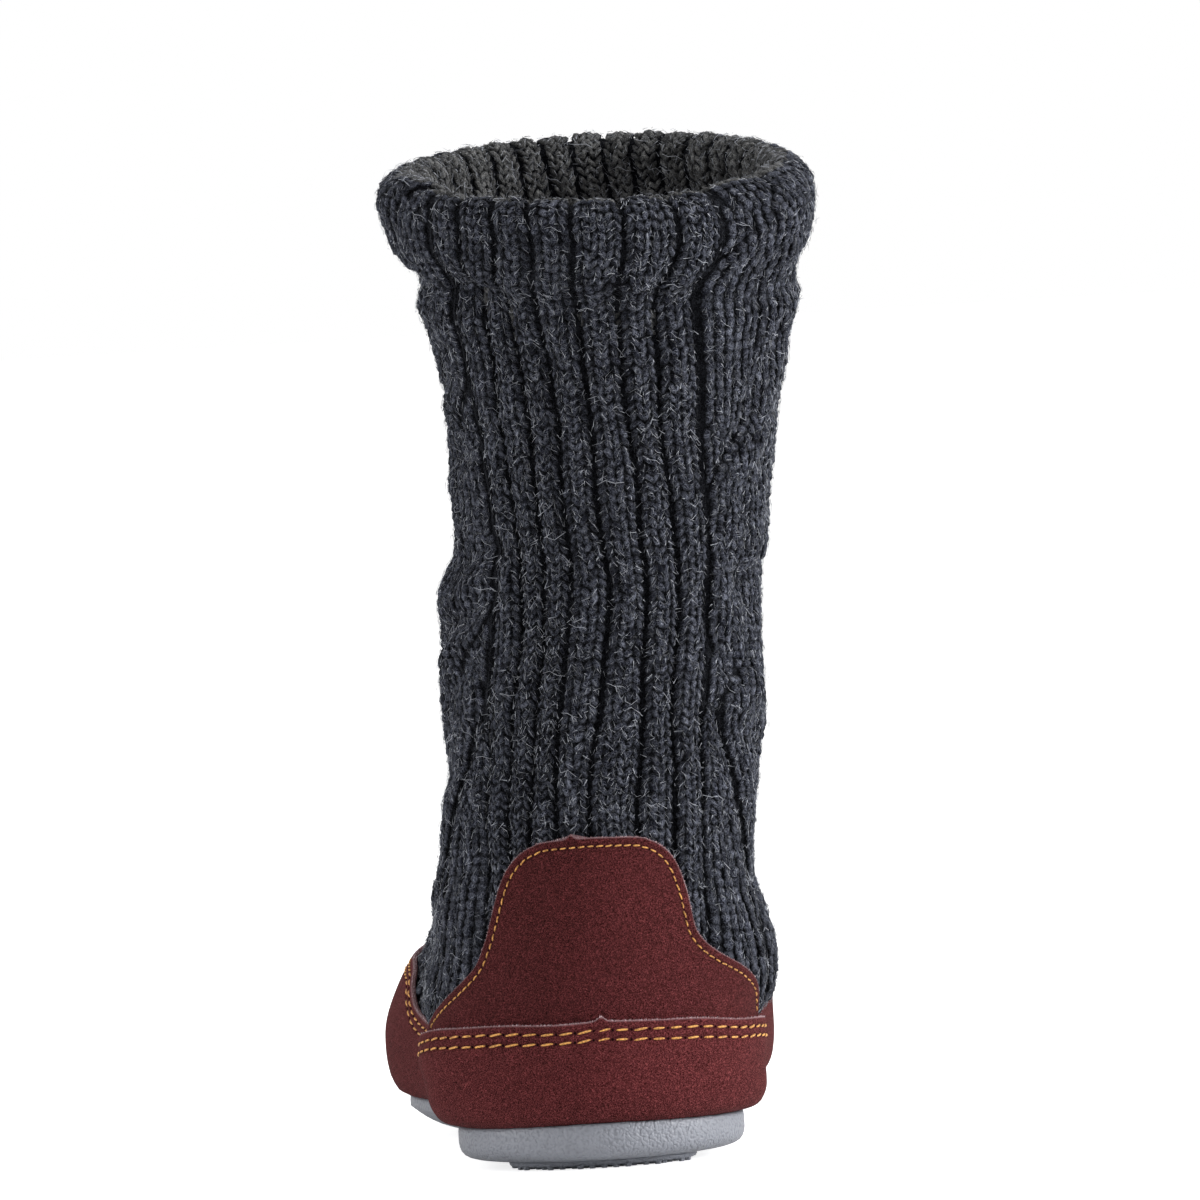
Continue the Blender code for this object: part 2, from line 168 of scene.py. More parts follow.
def ringAt(turn, spec):
    # points of one ring, turn going round from the heel in radians, medial side first
    height, back, frontZ, front, heel, waist, ball, toe, backRound, frontRound = spec
    heelAt, waistAt, ballAt, toeAt = last["widthsAt"]
    share = (1 - np.cos(turn)) / 2
    y = back + (front - back) * share
    z = height + (frontZ - height) * share
    half = heel + (waist - heel) * eased(y, heelAt, waistAt)
    half = half + (ball - waist) * eased(y, waistAt, ballAt) + (toe - ball) * eased(y, ballAt, toeAt)
    half = half * closing(y - back, backRound) * closing(front - y, frontRound)
    foot = 1 - eased(height, 28.0, 58.0)
    middle = smooth(footCurve, y) * foot + smooth(shaftLean, z)
    across = half * np.sign(np.sin(turn))
    z = z - last["rollRock"] * eased(height, 120.0, last["rollTuck"]) * across
    return np.stack([middle + across, y, z], -1)


def upperPoint(turn, height):
    turn, height = both(turn, height)
    columns = [smooth(rings[:, (0, c)], height) for c in range(1, rings.shape[1])]
    points = ringAt(turn, [height, *columns])
    # the heel is a little slimmer on its medial side
    degrees = np.degrees(turn)
    pinch = eased(degrees, 14.0, 40.0) * (1 - eased(degrees, 56.0, 72.0))
    pinch = pinch * eased(height, 11.0, 30.0) * (1 - eased(height, 34.0, 46.0))
    points[..., 0] -= last["heelPinch"] * pinch
    return points


def upperSkin(turn, height, out=0.0):
    # the knit's outside moved out along its normal, and kept above the sole
    turn, height = both(turn, height)
    low = np.maximum(height - 0.15, rings[0, 0])
    high = np.minimum(height + 0.15, rings[-1, 0])
    along = upperPoint(turn + 0.02, height) - upperPoint(turn - 0.02, height)
    normal = unitLong(np.cross(along, upperPoint(turn, high) - upperPoint(turn, low)))
    point = upperPoint(turn, height) + normal * np.asarray(out, float)[..., None]
    point[..., 2] = np.maximum(point[..., 2], last["soleTop"] + last["gap"])
    return point


def edgeHeight(turn):
    # height of the ring that the foxing's top edge follows
    around = aroundFrom(np.degrees(turn))
    return smooth(foxingEdge, np.abs(around)) + smooth(rimShift, around)


ballSide = smooth(footCurve, last["widthsAt"][2]) - last["footHalves"][2] - last["gap"] - last["suede"]
rollSide = smooth(shaftLean, last["rollWidest"]) + last["rollHalf"]
toeEnd = max(row[3] for row in footRows) * last["soleLength"] + last["gap"] + last["suede"]
seam = last["seamTurn"]
lastOrigin = np.array([(ballSide + rollSide) / 2, (last["rollBack"] + toeEnd) / 2, 0.0])


def placed(points):
    # adds the toe spring and goes to metres from the part's origin
    points = np.array(points, float)
    sprung = last["soleLength"] - last["springFrom"]
    forward = np.clip((points[..., 1] - last["springFrom"]) / sprung, 0, None)
    points[..., 2] += last["toeSpring"] * forward ** 2
    return (points - lastOrigin) * mm


# The knit wall is one surface: up the outside, over the roll, down the inside
outerHeights = np.arange(12.5, 216.01, 1.0)
rollAngles = np.arange(-72, 180.1, 4.0)     # 90 is the roll's top


def wallSurface():
    turn = np.radians(np.arange(0, 361, 1.0))
    outer = [upperPoint(turn, height) for height in outerHeights]
    roll = []
    for angle in np.radians(rollAngles):
        lower, upper = ("rollWidest", "rollCrest") if angle > 0 else ("rollTuck", "rollWidest")
        height = last["rollWidest"] + (last[upper] - last[lower]) * np.sin(angle)
        inset = last["rollThick"] / 2 * (1 - np.cos(angle))
        back, front = last["rollBack"] + inset, last["rollFront"] - inset
        depth, half = (front - back) / 2, last["rollHalf"] - inset
        spec = [height, back, height + last["rollTilt"], front, *(half,) * 4, depth, depth]
        roll.append(ringAt(turn, spec))
    inner = [upperSkin(turn, height, np.full(len(turn), -last["knit"])) for height in outerHeights[::-1]]
    points = np.array(outer + roll + inner)
    # three passes soften the joins between the shaft, the roll and the inside
    first, final = len(outer) - 3, len(outer) + len(roll) + 6
    for _ in range(3):
        middle = (points[first - 1:final - 1] + points[first + 1:final + 1]) / 2
        points[first:final] = points[first:final] * 0.5 + middle * 0.5
    # up the outside a way is the ring's height, and from there on the length walked
    walk = runLength(points[:, 0])
    beyond = outerHeights[-1] + walk - walk[len(outer) - 1]
    way = np.concatenate([outerHeights, beyond[len(outer):]])
    around = np.roll(points[:, :-1], -1, 1) - np.roll(points[:, :-1], 1, 1)
    normal = unitLong(np.cross(around, np.gradient(points, axis=0)[:, :-1]))
    normal = np.concatenate([normal, normal[:, :1]], 1)
    steps = np.linalg.norm(np.diff(points, axis=1), axis=-1)
    arcs = np.concatenate([np.zeros((len(points), 1)), np.cumsum(steps, 1)], 1)
    return way, points, normal, arcs


wayRows, wallPoints, wallNormals, wallArcs = wallSurface()
crestWay = wayRows[len(outerHeights) + np.searchsorted(rollAngles, 90)]    # about the top of the roll
endWay = wayRows[-1]


def onGrid(grid, turn, way):
    # reads a grid of the wall at any turn, in degrees, and any way along it
    turn, way = both(np.asarray(turn, float) % 360, way)
    row = np.clip(np.interp(way, wayRows, np.arange(len(wayRows))), 0, len(wayRows) - 1.001)
    r, c = row.astype(int), np.minimum(turn.astype(int), 359)
    fr, fc = (row - r)[..., None], (turn - c)[..., None]
    flat = grid if grid.ndim == 3 else grid[..., None]
    value = ((flat[r, c] * (1 - fc) + flat[r, c + 1] * fc) * (1 - fr)
             + (flat[r + 1, c] * (1 - fc) + flat[r + 1, c + 1] * fc) * fr)
    return value if grid.ndim == 3 else value[..., 0]


def arcFromBack(turn, way):
    # distance round the ring from the middle of the heel, in millimetres, medial side positive
    turn, way = both(aroundFrom(np.asarray(turn, float)), way)
    whole = onGrid(wallArcs, np.full(turn.shape, 359.999), way)
    arc = onGrid(wallArcs, turn % 360, way)
    return np.where(turn < 0, arc - whole, arc)


# Ribs and cables lie between lines that run up the wall
ribbing = dict(
    frontRibs=20,          # from cable to cable across the instep
    depth=2.05,            # of a valley, in mm
    valley=0.7,            # half of the flat floor of a valley
    roundness=2.3,         # how squarely a rib is rounded over
    rollEase=0.55,         # share by which the valleys run out over the roll
    crest=-0.3,            # top of a rib off the solid's surface
    rowHeight=2.3,         # one knitted row
    cablePeriod=56.0, cableCross=0.19, cableLift=1.5, cableDrop=0.9, cableTop=0.8,
    cableFall=2.0,         # how far a strand rounds down to its sides
    cableEdge=0.5,         # depth of the valley beside a cable, as a share of the ribs' valleys
    leftCross=131.0, rightCross=121.0,   # height of one crossing on each side
)

# Angles round the back, in degrees, of the eight valleys there, by height up the shaft
backValleys = (
    (12, (-47, -36, -26, -16, -3.0, 15, 30, 45)),
    (50, (-47, -36, -26, -16, -3.0, 15, 30, 45)),
    (75, (-47, -36, -26, -16, -3.4, 15, 30, 45)),
    (91, (-49, -37, -28, -18, -4.0, 14, 29, 43)),
    (116, (-48, -36, -26, -16.5, -2.0, 13.4, 26, 38.6)),
    (141, (-45, -33, -23, -14, 0.0, 14.5, 27, 40)),
    (166, (-50, -39, -29, -18, -4.5, 10, 22, 37)),
    (191, (-57, -45, -32, -20, -8.5, 4.6, 17, 31)),
    (216, (-56, -45, -34, -24, -11, 2.3, 13.6, 27)),
    (234, (-52, -41, -31, -20, -8, 4.6, 19.3, 33)),
    (400, (-52, -41, -31, -20, -8, 4.6, 19.3, 33)),
)
# Where the cables start and end, as turns, and where they start beside the gusset ribs
cableBack = ((12, 55.0), (40, 53.0), (70, 49.0), (100, 43.0), (116, 38.7), (400, 38.7))
cableFront = ((12, 82.0), (60, 81.0), (110, 78.0), (191, 74.0), (234, 77.0), (400, 77.0))
cableBackLeft = ((12, -57.0), (40, -55.0), (70, -52.0), (100, -50.5), (116, -48.1), (400, -48.1))
cableFrontLeft = ((12, -83.0), (60, -83.0), (110, -84.0), (191, -90.0), (234, -86.0), (400, -86.0))


def sideToTurn(angle, height):
    # the turn at which the back of a ring stands at this angle round its end
    height = min(height, rings[-1, 0])
    back, front, roundness = (float(smooth(rings[:, (0, c)], height)) for c in (1, 3, 8))
    bend = 2 * roundness * (1 - np.cos(np.radians(angle))) / (front - back)
    return np.sign(angle) * np.degrees(np.arccos(np.clip(1 - bend, -1, 1)))


def unitEdges(way):
    # turns, in degrees, of the lines that part the wall's ribs and cables
    columns = list(zip(*[values for _, values in backValleys]))
    heights = [height for height, _ in backValleys]
    side = np.array([float(smooth(list(zip(heights, column)), way)) for column in columns])
    line = np.arange(8)
    side = side + 0.5 * np.sin(way / 11.0 + line * 2.1) + 0.35 * np.sin(way / 5.3 + line * 1.3)
    back = sideToTurn(side, way)
    right = max(float(smooth(cableBack, way)), back[-1] + 0.01)
    left = min(float(smooth(cableBackLeft, way)), back[0] - 0.01)
    if way > 116:
        right, left = back[-1] + 0.01, back[0] - 0.01
    start, end = float(smooth(cableFront, way)), float(smooth(cableFrontLeft, way)) + 360
    share = np.arange(ribbing["frontRibs"] + 1) / ribbing["frontRibs"]
    front = start + (end - start) * share
    line = np.arange(len(front))
    sway = 0.4 * np.sin(way / 13.0 + line * 1.7) + 0.25 * np.sin(way / 6.1 + line)
    front[1:-1] += sway[1:-1]
    return np.concatenate([back, [right], front, [left + 360, back[0] + 360]])


unitKinds = ["rib"] * 8 + ["cableRight"] + ["rib"] * ribbing["frontRibs"] + ["cableLeft", "rib"]
sampleWays = np.arange(12.5, endWay + 2, 2.0)
edgeTable = np.array([unitEdges(way) for way in sampleWays])


def unitTurn(unit, share, way):
    lines = np.interp(way, sampleWays, np.arange(len(sampleWays)))
    i = np.clip(lines.astype(int), 0, len(sampleWays) - 2)
    f = lines - i
    low = edgeTable[i, unit] * (1 - f) + edgeTable[i + 1, unit] * f
    high = edgeTable[i, unit + 1] * (1 - f) + edgeTable[i + 1, unit + 1] * f
    return low + (high - low) * share


def unitWidths():
    # how wide each unit is across its own lines, in millimetres
    widths = []
    for unit in range(len(unitKinds)):
        a = onGrid(wallPoints, edgeTable[:, unit], sampleWays)
        b = onGrid(wallPoints, edgeTable[:, unit + 1], sampleWays)
        line = np.gradient((a + b) / 2, axis=0)
        widths.append(np.linalg.norm(np.cross(b - a, unitLong(line)), axis=-1))
    return np.array(widths)


widthTable = unitWidths()


def unitWidth(unit, way):
    return np.interp(way, sampleWays, widthTable[unit])


def slowNoise(a, b, seed):
    return (np.sin(a * 1.7 + seed) * np.cos(b * 1.3 + seed * 2.1)
            + np.sin(a * 0.61 - b * 0.9 + seed * 0.7)) / 2


def cableStrands(unit, way):
    # middles and heights of the two strands of a cable, as shares of its width and in millimetres
    cross = ribbing["rightCross"] if unitKinds[unit] == "cableRight" else ribbing["leftCross"]
    phase = (way - cross) / ribbing["cablePeriod"]
    t = np.clip((phase - np.round(phase)) / ribbing["cableCross"], -1, 1)
    swing = 0.235 * np.sin(t * np.pi / 2)
    bump = np.cos(t * np.pi / 2) ** 2
    return ((0.5 + swing, ribbing["cableLift"] * bump), (0.5 - swing, -ribbing["cableDrop"] * bump))


def ribArch(fromMiddle, half):
    # the rounded section of a rib: 0 on top, 1 down in the valley
    inner = np.clip(fromMiddle / np.maximum(half - ribbing["valley"], 0.6), 0, 1)
    return 1 - np.sqrt(1 - inner ** ribbing["roundness"])


def relief(unit, share, way):
    # height of the knit off the solid's surface, before the yarn is laid on
    share, way = both(share, way)
    width = unitWidth(unit, way)
    side = np.where(share < 0.5, unit, unit + 1)
    depth = ribbing["depth"] * (0.95 + 0.2 * slowNoise(way / 17.0, side * 1.9, 3.0))
    depth = depth * (1 - ribbing["rollEase"] * eased(way, crestWay - 34.0, crestWay + 2.0))
    if unitKinds[unit] == "rib":
        whole = ribArch(np.abs(share - 0.5) * width, width / 2)
        halves = ribArch(np.abs(np.abs(share - 0.5) - 0.25) * width, width / 4 + 0.25)
        split = eased(width, 12.5, 15.0)
        rise = ribbing["crest"] - depth * np.maximum(whole, halves * split)
        return rise + 0.15 * slowNoise(way / 7.0, unit * 2.3, 1.0)
    tops = []
    for middle, height in cableStrands(unit, way):
        off = np.clip(np.abs(share - middle) / 0.25, 0, 1)
        tops.append(height + ribbing["cableTop"] - ribbing["cableFall"] * (1 - np.sqrt(1 - off ** 2.4)))
    rise = np.maximum(*tops)
    toEdge = np.minimum(share, 1 - share) * width
    return rise - depth * ribbing["cableEdge"] * np.exp(-(toEdge / 1.1) ** 2)


def suedeFree(turn, way):
    # distance in millimetres out of the suede: negative under it
    out = (way - edgeHeight(np.radians(turn))) * 1.1
    x = arcFromBack(turn, way)
    patch = patchDistance(x, way)
    return np.where(way > 120, 60.0, np.minimum(out, patch))


# The heel patch's outline is distance round the ring and height
patchSides = (   # height, reach to the lateral and to the medial side
    (30, 60.5, 57.5), (35, 59.5, 57.5), (39.5, 53.8, 55.5), (44.0, 46.0, 51.5), (48.5, 38.0, 43.0),
    (52.5, 32.0, 34.5), (58, 28.2, 28.6), (63, 26.6, 26.8), (68, 25.2, 25.4), (73, 23.6, 23.4),
    (77, 21.4, 21.2), (80, 18.4, 18.2), (82, 14.6, 14.4), (83, 10.0, 10.0), (83.3, 0.0, 0.0),
)
patchLean = ((38, -0.3), (46, -0.2), (58, -2.6), (82, -2.2))


def patchReach(heights):
    # how far the patch reaches to the left and to the right of its middle
    lateral, medial = ([(row[0], row[side]) for row in patchSides] for side in (1, 2))
    return smooth(lateral, heights), smooth(medial, heights)


def risingTo(even, rise, first, rows, closest, topRows):
    # heights in even steps up to one, and then ever closer ones for the rise above it
    slowing = even + rise * np.sin(np.linspace(closest, 1, topRows) * np.pi / 2)
    return np.concatenate([np.linspace(first, even, rows), slowing])


def patchOutline():
    heights = risingTo(80.0, 3.3, 30, 56, 0.05, 16)
    lean = smooth(patchLean, heights)
    lateral, medial = patchReach(heights)
    left, right = lean - lateral, lean + medial
    return np.concatenate([np.stack([left, heights], -1), np.stack([right, heights], -1)[-2::-1]])


patchLine = patchOutline()


def patchDistance(x, height):
    # signed distance to the outline: positive outside it
    x, height = both(x, height)
    shape = x.shape
    points = np.stack([x.ravel(), height.ravel()], -1)
    best = np.full(len(points), 1e9)
    inside = np.zeros(len(points), bool)
    for p, q in zip(patchLine[:-1], patchLine[1:]):
        d = q - p
        t = np.clip(((points - p) @ d) / max(d @ d, 1e-9), 0, 1)
        best = np.minimum(best, np.linalg.norm(points - p - t[:, None] * d, axis=-1))
        crosses = (p[1] > points[:, 1]) != (q[1] > points[:, 1])
        at = p[0] + (points[:, 1] - p[1]) / np.where(q[1] == p[1], 1e-9, q[1] - p[1]) * d[0]
        inside ^= crosses & (points[:, 0] < at)
    return np.where(inside, -best, best).reshape(shape)


def calm(turn, way):
    # 1 on open knit, 0 where suede presses it flat
    return eased(suedeFree(turn, way), -1.0, 4.0)


# Soft swells of the tube: middle turn and way, half widths of both, height and squareness
swells = (
    (62.0, 47.0, 20.0, 12.0, 4.1, 4.0),
    (-70.0, 44.0, 20.0, 8.0, 2.6, 4.0),
    (-20.0, 227.0, 40.0, 7.0, 0.8, 2.0),
    (0.0, 214.5, 45.0, 4.5, -0.9, 2.0),
    (180.0, 214.5, 60.0, 4.0, -1.2, 2.0),
    (125.0, crestWay, 42.0, 15.0, 1.0, 2.0),
    (-125.0, crestWay, 42.0, 15.0, -0.5, 2.0),
)
# How far the tube swells or sinks on its left and its right, by way, in mm
leftSwell = (
    (30, 0.0), (46, -0.8), (55, 0.3), (64, 0.5), (70, 0.5), (76, -0.9), (87, -0.3), (97, -1.1), (104, -2.8),
    (109, -2.3), (114, -1.4), (121, -0.3), (128, -0.5), (134, 1.0), (144, 2.2), (148, 0.8), (152, -1.3),
    (156, -1.8), (161, -1.0), (174, 0.0), (184, -1.2), (190, 0.2), (200, 0.2), (207, 0.8), (211, 1.6),
    (214, 0.4), (216.5, -3.4), (219, -2.8), (223, -1.4), (228, -0.4), (234, 0.0), (400, 0.0),
)
rightSwell = (
    (30, 0.0), (46, 0.0), (57, 0.6), (62, 0.6), (67.5, -1.3), (80, -1.5), (98, -1.1), (107, -1.6),
    (113, -0.2), (117, 0.2), (122, -1.0), (134, -1.4), (147, -1.4), (151, 0.0), (165, 0.4), (175, 1.2),
    (184, 0.8), (194, 1.7), (202, 1.1), (210, 2.0), (213, 0.6), (216, -1.6), (220, -2.8), (225, -2.0),
    (231, -1.1), (240, -0.4), (250, 0.0), (400, 0.0),
)
mmPerTurn = 0.7     # about how far one degree reaches round the shaft

# Folds where the tube gives: depth and half width in mm, then turn and way of the points of each trough
creases = (
    (1.5, 4.0, (-54, 223), (-42, 216), (-34, 212), (-22, 202)),
    (0.9, 5.5, (-46, 216), (-40, 206), (-32, 200)),
    (0.8, 4.2, (46, 225), (26, 218), (14, 209)),
    (1.2, 3.2, (64, 204), (54, 190), (46, 176)),
    (1.3, 2.6, (-80, 175), (-62, 178)),
    (0.9, 3.0, (-74, 151), (-46, 156)),
    (1.6, 2.8, (-80, 134), (-56, 140), (-46, 145)),
    (0.9, 2.6, (72, 150), (52, 142)),
    (0.9, 2.6, (42, 158), (62, 138)),
    (0.9, 2.6, (36, 142), (53, 118)),
)


def creaseAt(turn, way):
    # soft troughs with a low ridge beside them
    turn = aroundFrom(turn)
    flat = np.stack([turn * mmPerTurn, way], -1)
    total = np.zeros(turn.shape)
    for deep, half, *line in creases:
        nearest = np.full(turn.shape, 99.0)
        for first, second in zip(line[:-1], line[1:]):
            start = np.array([first[0] * mmPerTurn, first[1]])
            run = np.array([second[0] * mmPerTurn, second[1]]) - start
            share = np.clip(((flat - start) @ run) / (run @ run), 0, 1)
            nearest = np.minimum(nearest, np.linalg.norm(flat - start - share[..., None] * run, axis=-1))
        total -= deep * np.exp(-(nearest / half) ** 2)
        total += 0.3 * deep * np.exp(-((nearest - 2.2 * half) / half) ** 2)
    return total


def swellAt(turn, way):
    turn, way = both(turn, way)
    total = np.zeros(turn.shape)
    for middleTurn, middleWay, spreadTurn, spreadWay, height, squareness in swells:
        around = (aroundFrom(turn, middleTurn) / spreadTurn) ** 2
        total = total + height * np.exp(-around - np.abs((way - middleWay) / spreadWay) ** squareness)
    for side, table in ((-90, leftSwell), (90, rightSwell)):
        facing = np.clip(np.cos(np.radians(turn - side)), 0, 1) ** 1.4
        total = total + facing * np.interp(way, *zip(*table))
    return total + creaseAt(turn, way)


def wallAt(unit, share, way, extra=0.0):
    # a point of the knit with its relief, in millimetres
    turn = unitTurn(unit, share, way)
    free = calm(turn, way)
    rise = relief(unit, share, way)
    rise = rise * free + np.minimum(rise, -0.25) * (1 - free)
    rise = rise + swellAt(turn, way) + extra
    return onGrid(wallPoints, turn, way) + onGrid(wallNormals, turn, way) * rise[..., None]


def newPiece(name, points, faces, material, replaced=(), attributes=None):
    mesh = bpy.data.meshes.new(name)
    mesh.from_pydata(np.asarray(points, float).tolist(), [], faces)
    addNumbers(mesh, attributes or {})
    mesh.materials.append(material)
    mesh.shade_smooth()
    piece = bpy.data.objects.new(name, mesh)
    scene.collection.objects.link(piece)
    settle(piece, replaced)
    faceOut(piece)
    return piece


def addNumbers(mesh, numbers):
    for key, values in numbers.items():
        layer = mesh.attributes.new(key, "FLOAT", "POINT")
        layer.data.foreach_set("value", np.asarray(values, np.float32))


def settle(piece, replaced=()):
    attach(piece, "root")
    if replaced:
        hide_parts(*replaced)


def faceOut(piece):
    form = bmesh.new()
    form.from_mesh(piece.data)
    bmesh.ops.recalc_face_normals(form, faces=form.faces)
    if form.calc_volume(signed=True) < 0:
        bmesh.ops.reverse_faces(form, faces=form.faces)
    form.to_mesh(piece.data)
    form.free()


def gridFaces(rows, columns, around=False, first=0):
    faces = []
    for r in range(rows - 1):
        for c in range(columns if around else columns - 1):
            a, b = first + r * columns + c, first + r * columns + (c + 1) % columns
            faces.append((a, b, b + columns, a + columns))
    return faces


def sheetFaces(rows, columns):
    # a front and a rear grid of points, with the narrow faces that close the edge between them
    back = rows * columns
    faces = gridFaces(rows, columns) + [f[::-1] for f in gridFaces(rows, columns, False, back)]
    edges = [(r * columns + c, r * columns + c + 1) for r in (0, rows - 1) for c in range(columns - 1)]
    edges += [(r * columns + c, (r + 1) * columns + c) for c in (0, columns - 1) for r in range(rows - 1)]
    return faces + [(a, b, b + back, a + back) for a, b in edges]


def ladderFaces(columns, first):
    faces = []
    for c in range(columns // 2):
        strip = (c, c + 1, (columns - c - 1) % columns, (columns - c) % columns)
        faces.append(tuple(dict.fromkeys(first + i for i in strip)))
    return faces


def loft(name, loops, material, replaced=()):
    # loops of equal count joined up, with strips across the first and the last
    rows, columns = len(loops), len(loops[0])
    faces = gridFaces(rows, columns, True)
    faces += ladderFaces(columns, 0) + [f[::-1] for f in ladderFaces(columns, (rows - 1) * columns)]
    return newPiece(name, placed(np.concatenate(loops)), faces, material, replaced)


def nodeIn(tree, kind, links=None, **settings):
    # a new node, set down in rows in the order of making
    count = len(tree.nodes)
    node = tree.nodes.new(kind)
    node.location = (count % 10 * 200, -(count // 10) * 260)
    for key, value in settings.items():
        setattr(node, key, value)
    for key, value in (links or {}).items():
        socket = node.inputs[key]
        if hasattr(value, "links") or hasattr(value, "is_linked"):
            tree.links.new(value, socket)
        else:
            socket.default_value = value
    return node


def mathIn(tree, operation, a, b=None, c=None, clamp=False):
    links = {0: a}
    if b is not None:
        links[1] = b
    if c is not None:
        links[2] = c
    return nodeIn(tree, "ShaderNodeMath", links, operation=operation, use_clamp=clamp).outputs[0]


def groupSockets(tree, inputs, outputs):
    for name, kind, value in inputs:
        socket = tree.interface.new_socket(name, in_out="INPUT", socket_type=kind)
        if value is not None:
            socket.default_value = value
    for name, kind in outputs:
        tree.interface.new_socket(name, in_out="OUTPUT", socket_type=kind)
    return tree, nodeIn(tree, "NodeGroupInput").outputs


def noiseIn(tree, vector, scale, detail=2.0, roughness=0.5, distortion=0.0):
    links = {"Vector": vector, "Scale": scale, "Detail": detail, "Roughness": roughness,
             "Distortion": distortion}
    return nodeIn(tree, "ShaderNodeTexNoise", links).outputs["Fac"]


def rangeIn(tree, value, low, high, first=0.0, final=1.0):
    # the value's span from low to high laid out from first to final
    return nodeIn(tree, "ShaderNodeMapRange", {0: value, 1: low, 2: high, 3: first, 4: final}).outputs[0]


def vectorIn(tree, operation, *values):
    return nodeIn(tree, "ShaderNodeVectorMath", dict(enumerate(values)), operation=operation).outputs[0]


def joinIn(tree, x=0.0, y=0.0, z=0.0):
    return nodeIn(tree, "ShaderNodeCombineXYZ", {0: x, 1: y, 2: z}).outputs[0]


def dimmed(colour, factor):
    return tuple(v * factor for v in colour)


def shaderGroup(name, numbers, outputs):
    # a group that takes a vector and named numbers and gives named masks
    inputs = [("Vector", "NodeSocketVector", None)]
    inputs += [(key, "NodeSocketFloat", value) for key, value in numbers.items()]
    tree = bpy.data.node_groups.new(name, "ShaderNodeTree")
    return groupSockets(tree, inputs, [(key, "NodeSocketFloat") for key in outputs])


def fibreTangle():
    # curled fibres drawn as thin level lines of soft noise, broken up, and a fine fleck
    tree, given = shaderGroup("fibreTangle", {"Scale": 420.0, "Thickness": 0.03, "Curl": 0.6},
                              ("Fibres", "Fleck"))
    total = None
    for offset in ((0.0, 0.0, 0.0), (1.7, 0.4, 2.9), (3.1, 2.2, 0.8), (0.9, 4.1, 1.6)):
        moved = vectorIn(tree, "ADD", given["Vector"], offset)
        field = noiseIn(tree, moved, given["Scale"], 0.6, distortion=given["Curl"])
        level = mathIn(tree, "ABSOLUTE", mathIn(tree, "SUBTRACT", field, 0.5))
        line = mathIn(tree, "SUBTRACT", 1.0, mathIn(tree, "DIVIDE", level, given["Thickness"]), clamp=True)
        gate = rangeIn(tree, noiseIn(tree, moved, 330.0, 0.0), 0.46, 0.58)
        part = mathIn(tree, "MULTIPLY", line, gate)
        total = part if total is None else mathIn(tree, "MAXIMUM", total, part)
    fleck = noiseIn(tree, given["Vector"], 1250.0, roughness=0.7)
    nodeIn(tree, "NodeGroupOutput", {"Fibres": total, "Fleck": fleck})
    return tree


def brushedNap():
    # short brushed nap: light hairs as level lines of a fine noise, soft clouds and a height for the bump
    tree, given = shaderGroup("brushedNap", {"Grain": 1500.0, "Cloud": 70.0}, ("Grain", "Cloud", "Height"))
    fine = noiseIn(tree, given["Vector"], given["Grain"], 0.4, distortion=0.5)
    level = mathIn(tree, "ABSOLUTE", mathIn(tree, "SUBTRACT", fine, 0.5))
    hairs = rangeIn(tree, level, 0.015, 0.075, 1.0, 0.0)
    some = rangeIn(tree, noiseIn(tree, given["Vector"], 900.0), 0.32, 0.66, 0.8, 1.0)
    cloud = rangeIn(tree, noiseIn(tree, given["Vector"], given["Cloud"], 4.0, 0.6, 0.6), 0.3, 0.7)
    grain = mathIn(tree, "MULTIPLY", hairs, some)
    nodeIn(tree, "NodeGroupOutput", {"Grain": grain, "Cloud": cloud, "Height": hairs})
    return tree


def mouldGrain():
    # the leather-like grain of the moulding: rounded pebbles with fine creases between them
    tree, given = shaderGroup("mouldGrain", {"Scale": 950.0}, ("Crease", "Height"))
    warp = nodeIn(tree, "ShaderNodeTexNoise", {"Vector": given["Vector"], "Scale": 400.0, "Detail": 2.0})
    small = nodeIn(tree, "ShaderNodeVectorMath", {0: warp.outputs["Color"], 3: 0.0009}, operation="SCALE")
    bent = vectorIn(tree, "ADD", given["Vector"], small.outputs[0])
    cells = nodeIn(tree, "ShaderNodeTexVoronoi", {"Vector": bent, "Scale": given["Scale"]},
                   feature="SMOOTH_F1")
    crease = rangeIn(tree, cells.outputs["Distance"], 0.35, 0.75)
    pebble = mathIn(tree, "SUBTRACT", 1.0, crease)
    height = mathIn(tree, "MULTIPLY_ADD", noiseIn(tree, given["Vector"], 2600.0), 0.35, pebble)
    nodeIn(tree, "NodeGroupOutput", {"Crease": crease, "Height": height})
    return tree


tangleGroup, napGroup, grainGroup = fibreTangle(), brushedNap(), mouldGrain()


def nodesOf(owner, shader):
    # an owner's tree switched on, and its first shader
    owner.use_nodes = True
    return owner.node_tree, owner.node_tree.nodes[shader]


def startMaterial(name, roughness, sheen=0.0, sheenTint=(1, 1, 1), sheenRoughness=0.5, specular=0.5):
    # a material, its tree, its shader and the object's own coordinates
    material = bpy.data.materials.new(name)
    tree, shader = nodesOf(material, "Principled BSDF")
    constants = {"Roughness": roughness, "Specular IOR Level": specular, "Sheen Weight": sheen,
                 "Sheen Tint": (*sheenTint, 1), "Sheen Roughness": sheenRoughness}
    for key, value in constants.items():
        shader.inputs[key].default_value = value
    return material, tree, shader, nodeIn(tree, "ShaderNodeTexCoord").outputs["Object"]


def groupIn(tree, group, vector, **numbers):
    # a shared effect with its own numbers, and its outputs
    node = nodeIn(tree, "ShaderNodeGroup", node_tree=group)
    tree.links.new(vector, node.inputs["Vector"])
    for key, value in numbers.items():
        node.inputs[key.capitalize()].default_value = value
    return node.outputs


def attributeIn(tree, name, output="Fac"):
    return nodeIn(tree, "ShaderNodeAttribute", attribute_name=name).outputs[output]


